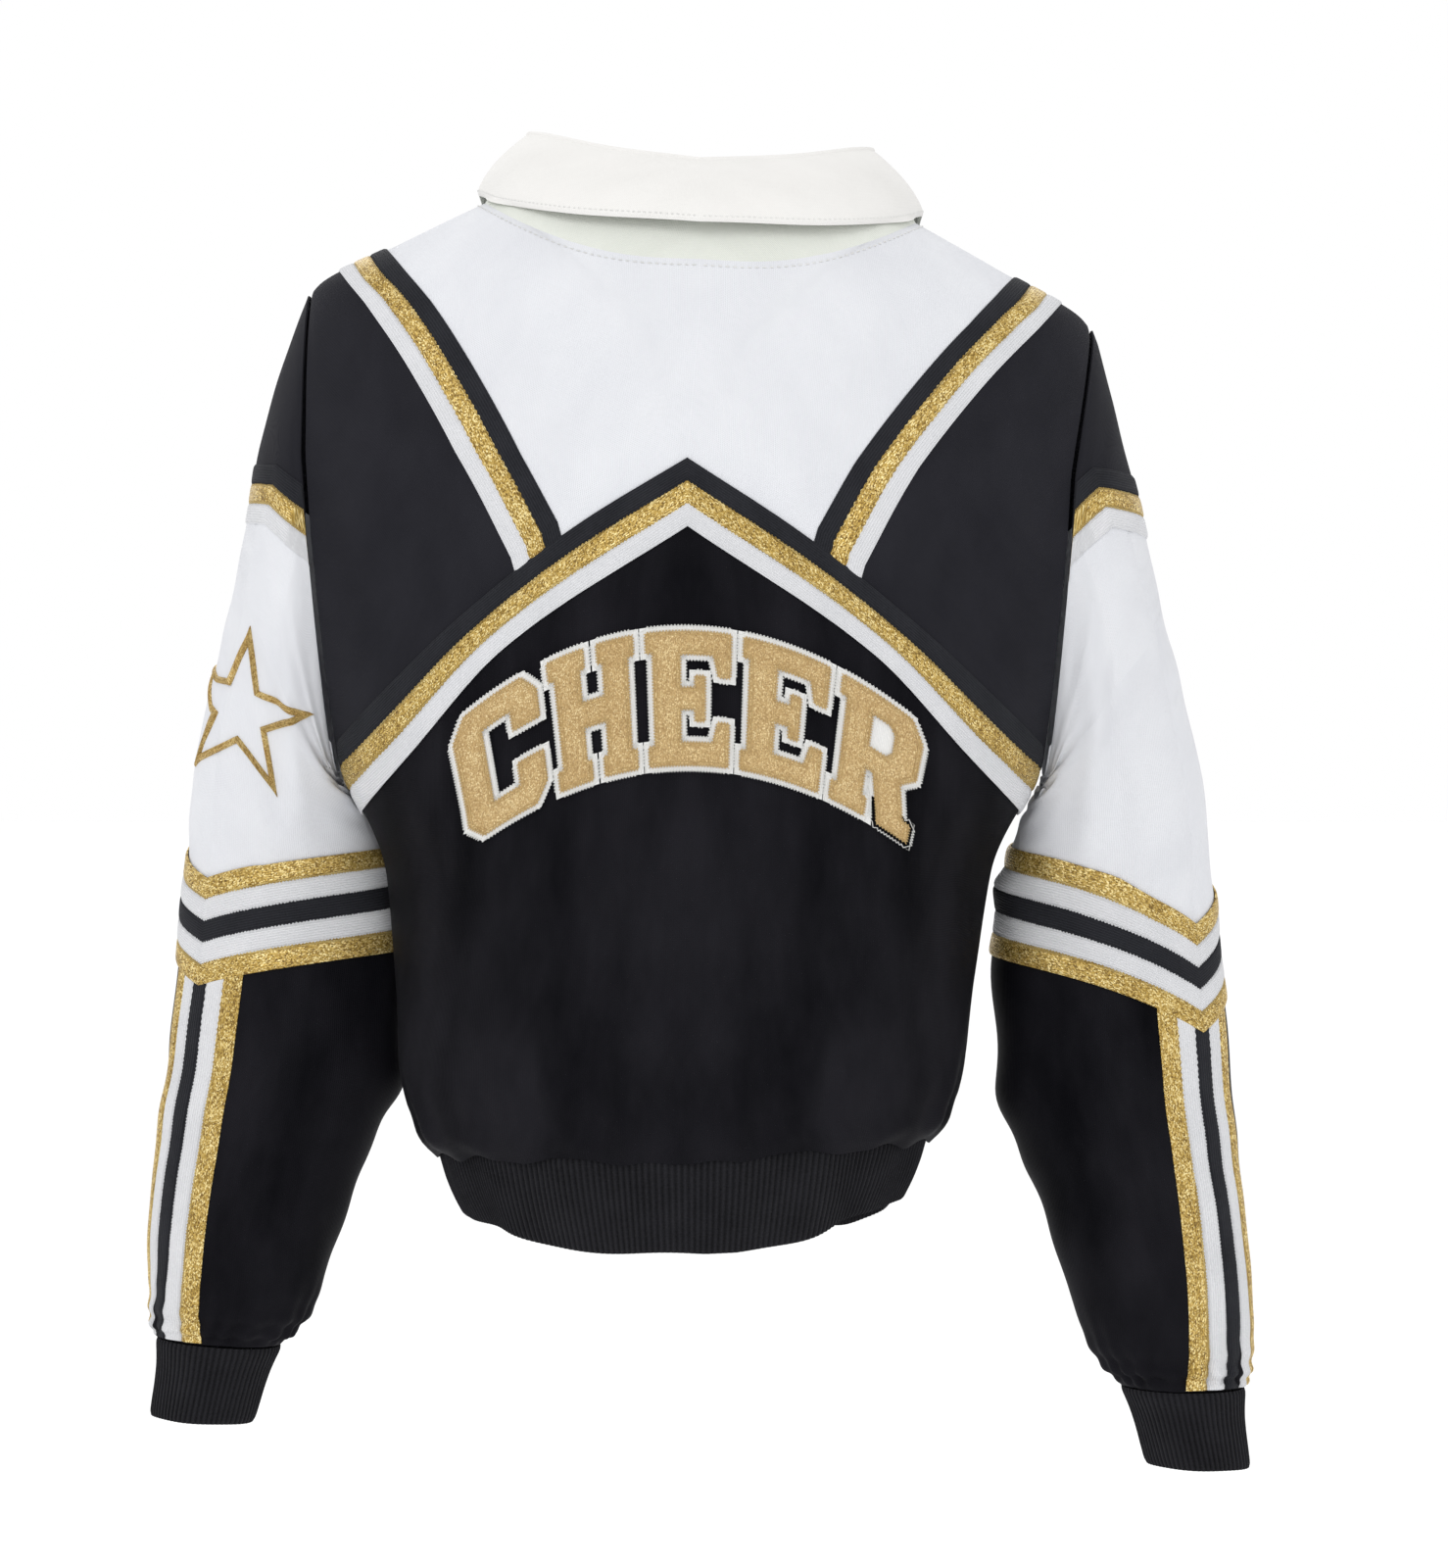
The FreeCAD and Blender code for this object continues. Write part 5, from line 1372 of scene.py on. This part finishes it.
def zigzag(outline, offset, swing, step, lift):
    points, normal = outline_points(outline, step)
    flip = np.where(np.arange(len(points)) % 2 == 0, 1, -1)[:, None]
    flat = points + normal * (offset + swing * flip)
    x, z = arch(flat[:, 0], flat[:, 1] / LETTER_HIGH)
    placed = on_back(x, z, lift)
    return [placed[[k, (k + 1) % len(placed)]] for k in range(len(placed))]


TWILL_TOP = 2.5
EDGE_LIFT = 2.62
white_threads, gold_threads, borders = [], [], []
for number, (glyph, node) in enumerate(WORD):
    centre = (number - 2) * LETTER_PITCH
    outlines = []
    for outline in GLYPHS[glyph]:
        outlines.append([(centre + (u - 0.5) * LETTER_WIDE, v * LETTER_HIGH) for u, v in outline])
    obj = patch_mesh("applique_" + node.split("_", 1)[1], outlines, 0.0, 1.7, TWILL_TOP, GOLD_TWILL)
    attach(obj, "torso")
    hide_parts(node)
    for outline in outlines:
        gold_threads += zigzag(outline, 0.0, 0.75, 0.75, EDGE_LIFT)
        gold_threads += zigzag(outline, -1.7, 0.05, 2.0, EDGE_LIFT)
    white_threads += zigzag(outlines[0], 2.7, 0.7, 0.8, 1.72)
    borders.append(outlines[0])
backings = []
for number, border in enumerate(borders):
    backings.append(patch_mesh("backing_%d" % number, [border], 2.8, 0.7, 1.6, WHITE_TWILL))
bpy.ops.object.select_all(action="DESELECT")
for obj in backings:
    obj.select_set(True)
bpy.context.view_layer.objects.active = backings[0]
bpy.ops.object.join()
backing = bpy.context.view_layer.objects.active
backing.name = "applique_backing"
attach(backing, "torso")
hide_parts("lettering_backing")
for label, threads, thread in (("white", white_threads, WHITE_THREAD), ("gold", gold_threads, GOLD_THREAD)):
    obj = tube_set("applique_edge_" + label, threads, 0.2, thread, 4)
    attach(obj, "torso")

# ---- star

STAR_CENTRE = (237.0, -270.5)
STAR_RADIUS, STAR_RATIO, STAR_TILT = 45.5, 0.39, 99.5


def star_map(x, z):
    """(turn, place) on the left sleeve of a point of the star, seen from behind and wrapped at the edge."""
    x_seen = STAR_CENTRE[0] + x
    z_seen = STAR_CENTRE[1] + z
    edge = np.interp(-z_seen, (197.0, 256.0, 307.5, 355.0), (241.6, 256.1, 267.0, 271.3))
    limit = edge - 4.5
    beyond = np.maximum(x_seen - limit, 0.0)
    x_seen = np.minimum(x_seen, limit)
    turn = np.full(x.shape, 66.0)
    place = np.full(x.shape, 3.1)
    for _ in range(30):
        here = sleeve_base(turn, place)
        by_turn = (sleeve_base(turn + 0.5, place) - here) / 0.5
        by_place = (sleeve_base(turn, place + 0.01) - here) / 0.01
        dx, dz = x_seen - here[..., 0], z_seen - here[..., 2]
        det = by_turn[..., 0] * by_place[..., 2] - by_place[..., 0] * by_turn[..., 2]
        det = np.where(np.abs(det) < 1e-6, 1e-6, det)
        turn = turn + np.clip((dx * by_place[..., 2] - by_place[..., 0] * dz) / det, -8, 8)
        place = place + np.clip((by_turn[..., 0] * dz - dx * by_turn[..., 2]) / det, -0.4, 0.4)
    return turn - np.degrees(beyond / 46.0), place


STAR_CORE = 0.765  # inner edge of the satin outline, as a share of its outer edge
STAR_ROWS = 60
corners = []
for index in range(11):
    reach = STAR_RADIUS * (1.0 if index % 2 == 0 else STAR_RATIO)
    angle = math.radians(STAR_TILT + 36.0 * index)
    corners.append((reach * math.cos(angle), reach * math.sin(angle)))
corners = np.array(corners)
spots = np.linspace(0, 1, 9)
crown = 0.25 + 1.15 * np.sqrt(np.clip(1 - (2 * spots - 1) ** 2, 0, 1))
thread = 0.16 * (np.arange(STAR_ROWS) % 2)[:, None]
blocks = []
for start, end in zip(corners[:-1], corners[1:]):
    line_rim = between(start, end, STAR_ROWS)
    line_core = between(start * STAR_CORE, end * STAR_CORE, STAR_ROWS)
    flat = line_rim[:, None] * (1 - spots[None, :, None]) + line_core[:, None] * spots[None, :, None]
    turn, place = star_map(flat[..., 0], flat[..., 1])
    outer = sleeve(turn, place, crown[None] + thread)
    blocks.append((outer, sleeve(turn, place), arc_lengths(outer)[..., ::-1].copy(), 0))
star = shell("star_embroidery", blocks, [GOLD_SATIN])
sleeve_blend(star)
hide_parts("sleeve_star")

# ---- zipper


ZIP_TOP = (-104.0, -80.0)
ZIP_LEAN = math.radians(1.0)


def zip_point(x, y, down):
    """Point of the zipper: x across, y inwards, down from the top of the run, all mm."""
    y_placed = ZIP_TOP[0] + y * math.cos(ZIP_LEAN) + down * math.sin(ZIP_LEAN)
    return np.array((x, y_placed, ZIP_TOP[1] + y * math.sin(ZIP_LEAN) - down * math.cos(ZIP_LEAN)))


def bars(name, boxes, material, node):
    """Rounded bars of the zipper in one mesh: each is (x0, x1, y0, y1, down0, down1)."""
    bm = bmesh.new()
    for x0, x1, y0, y1, d0, d1 in boxes:
        places = itertools.product((x0, x1), (y0, y1), (d0, d1))
        corners = [bm.verts.new(tuple(zip_point(*place) * MM)) for place in places]
        for face in ((0, 1, 3, 2), (4, 6, 7, 5), (0, 4, 5, 1), (2, 3, 7, 6), (0, 2, 6, 4), (1, 5, 7, 3)):
            bm.faces.new([corners[k] for k in face])
    bmesh.ops.recalc_face_normals(bm, faces=bm.faces)
    bmesh.ops.bevel(bm, geom=bm.edges[:], offset=0.22 * MM, segments=2, affect="EDGES", profile=0.6)
    mesh = bpy.data.meshes.new(name)
    bm.to_mesh(mesh)
    bm.free()
    mesh.materials.append(material)
    co = np.empty(len(mesh.vertices) * 3)
    mesh.vertices.foreach_get("co", co)
    obj = finished(name, mesh, co.reshape(-1, 3)[:, [0, 2, 1]] / MM, 50.0)
    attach(obj, "torso")
    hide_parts(node)


RUN = 453.0
TOOTH = 2.4
TOOTH_SHARE = 0.46  # height of a tooth, as a share of the pitch
for side, side_name in SIDES:
    low, high = (-0.5, 3.0) if side > 0 else (-3.0, 0.5)
    offset = 0.0 if side > 0 else TOOTH / 2
    starts = [k * TOOTH + offset for k in range(int(RUN / TOOTH))]
    teeth = [(low, high, 0.9, 3.0, start, start + TOOTH * TOOTH_SHARE) for start in starts]
    bars("teeth_" + side_name, teeth, ZIP_PLASTIC, "zipper_teeth_" + side_name)
    x0, x1 = sorted((side * 3.0, side * 14.0))
    bars("tape_" + side_name, [(x0, x1, 3.3, 4.0, -3.0, RUN + 11.0)], ZIP_TAPE, "zipper_tape_" + side_name)

for node, obj in frame["nodes"].items():
    if node in ("zipper_slider", "zipper_pull"):
        stuff = ZIP_METAL
    elif node.startswith("zipper_top_stop") or node == "zipper_bottom_box":
        stuff = ZIP_PLASTIC
    else:
        continue
    obj.data.materials.clear()
    obj.data.materials.append(stuff)

# ---- uneven hang

# The jacket hangs a little lower on the wearer's right; towards the hem the tilt turns the other way.
SLEEVE_TILT = 0.047
HEM_RISE = 12.0
for obj in bpy.data.objects:
    if obj.type != "MESH" or "weave" not in obj.data.attributes:
        continue
    co = np.empty(len(obj.data.vertices) * 3)
    obj.data.vertices.foreach_get("co", co)
    co = co.reshape(-1, 3)
    x, y, z = co[:, 0] / MM, co[:, 1] / MM, co[:, 2] / MM
    tilt = np.interp(-z, (0.0, 60.0, 310.0, 540.0), (0.046, 0.044, 0.0, -0.036))
    # The back also sways to the wearer's left, and its hem rides up; the zipper stays where it is.
    behind = eased((y + 70.0) / 60.0)
    sway = behind * np.interp(-z, (0.0, 60.0, 135.0, 310.0, 450.0, 540.0), (0.0, 0.0, 6.0, 5.0, 9.5, 8.5))
    ride_up = behind * HEM_RISE * eased((-z - 380.0) / 110.0)
    if obj in sleeve_pieces:
        free = eased(np.maximum((np.abs(x) - armhole_x(z)) / 60.0, (-285.0 - z) / 80.0))
        tilt = tilt + (SLEEVE_TILT - tilt) * free
        sway, ride_up = sway * (1 - free), 0.0
    co[:, 2] += tilt * co[:, 0] + ride_up * MM
    co[:, 0] += sway * MM
    obj.data.vertices.foreach_set("co", co.ravel())
    obj.data.update()

# ---- floor, light and camera

scene = bpy.context.scene
scene.view_settings.view_transform = "Standard"


def studio_material():
    n = Nodes("studio_paper")
    place = n.add("ShaderNodeTexCoord")
    cloud = n.noise(place, "Object", 1.5, 2.0)
    colour = n.ramp(cloud, 0, ((0.3, (0.93, 0.93, 0.93)), (0.7, (0.95, 0.95, 0.95))))
    n.link(colour, 0, n.shader, "Base Color")
    n.shader.inputs["Roughness"].default_value = 0.9
    n.shader.inputs["Emission Color"].default_value = (1.0, 1.0, 1.0, 1.0)
    n.shader.inputs["Emission Strength"].default_value = 0.08
    return n.material


paper = studio_material()
floor_z = cad_box[0][2] - 0.35
bpy.ops.mesh.primitive_plane_add(size=60, location=(0, 0, floor_z))
floor = bpy.context.object
floor.name = "floor"
floor.data.materials.append(paper)

world = bpy.data.worlds.new("studio")
scene.world = world
world.use_nodes = True
world.node_tree.nodes["Background"].inputs[0].default_value = (1.0, 1.0, 1.0, 1.0)
world.node_tree.nodes["Background"].inputs[1].default_value = 1.0


def area_light(name, location, target, size, power):
    data = bpy.data.lights.new(name, "AREA")
    data.shape = "RECTANGLE"
    data.size = data.size_y = size
    data.energy = power
    obj = bpy.data.objects.new(name, data)
    obj.location = location
    obj.rotation_euler = (Vector(target) - Vector(location)).to_track_quat("-Z", "Y").to_euler()
    obj.visible_camera = False
    scene.collection.objects.link(obj)


middle = (0, 0, -0.3)
area_light("key", (1.1, 2.0, 1.5), middle, 1.2, 15)
area_light("fill", (-1.9, 1.7, 0.2), middle, 1.8, 3)
area_light("front", (0.4, -2.2, 1.2), middle, 2.0, 10)

CAMERA_LENS = 97.0
CAMERA_FROM = 2.2
camera_data = bpy.data.cameras.new("camera")
camera_data.lens = CAMERA_LENS
camera_data.sensor_fit = "VERTICAL"
camera_data.sensor_height = 36.0
camera = bpy.data.objects.new("camera", camera_data)
scene.collection.objects.link(camera)
target = Vector((-0.0122, 0.0, -0.298))
location = target + Vector((0.0, CAMERA_FROM, 0.03))
facing = (target - location).to_track_quat("-Z", "Y").to_matrix().to_4x4()
camera.matrix_world = Matrix.Translation(location) @ facing
scene.camera = camera
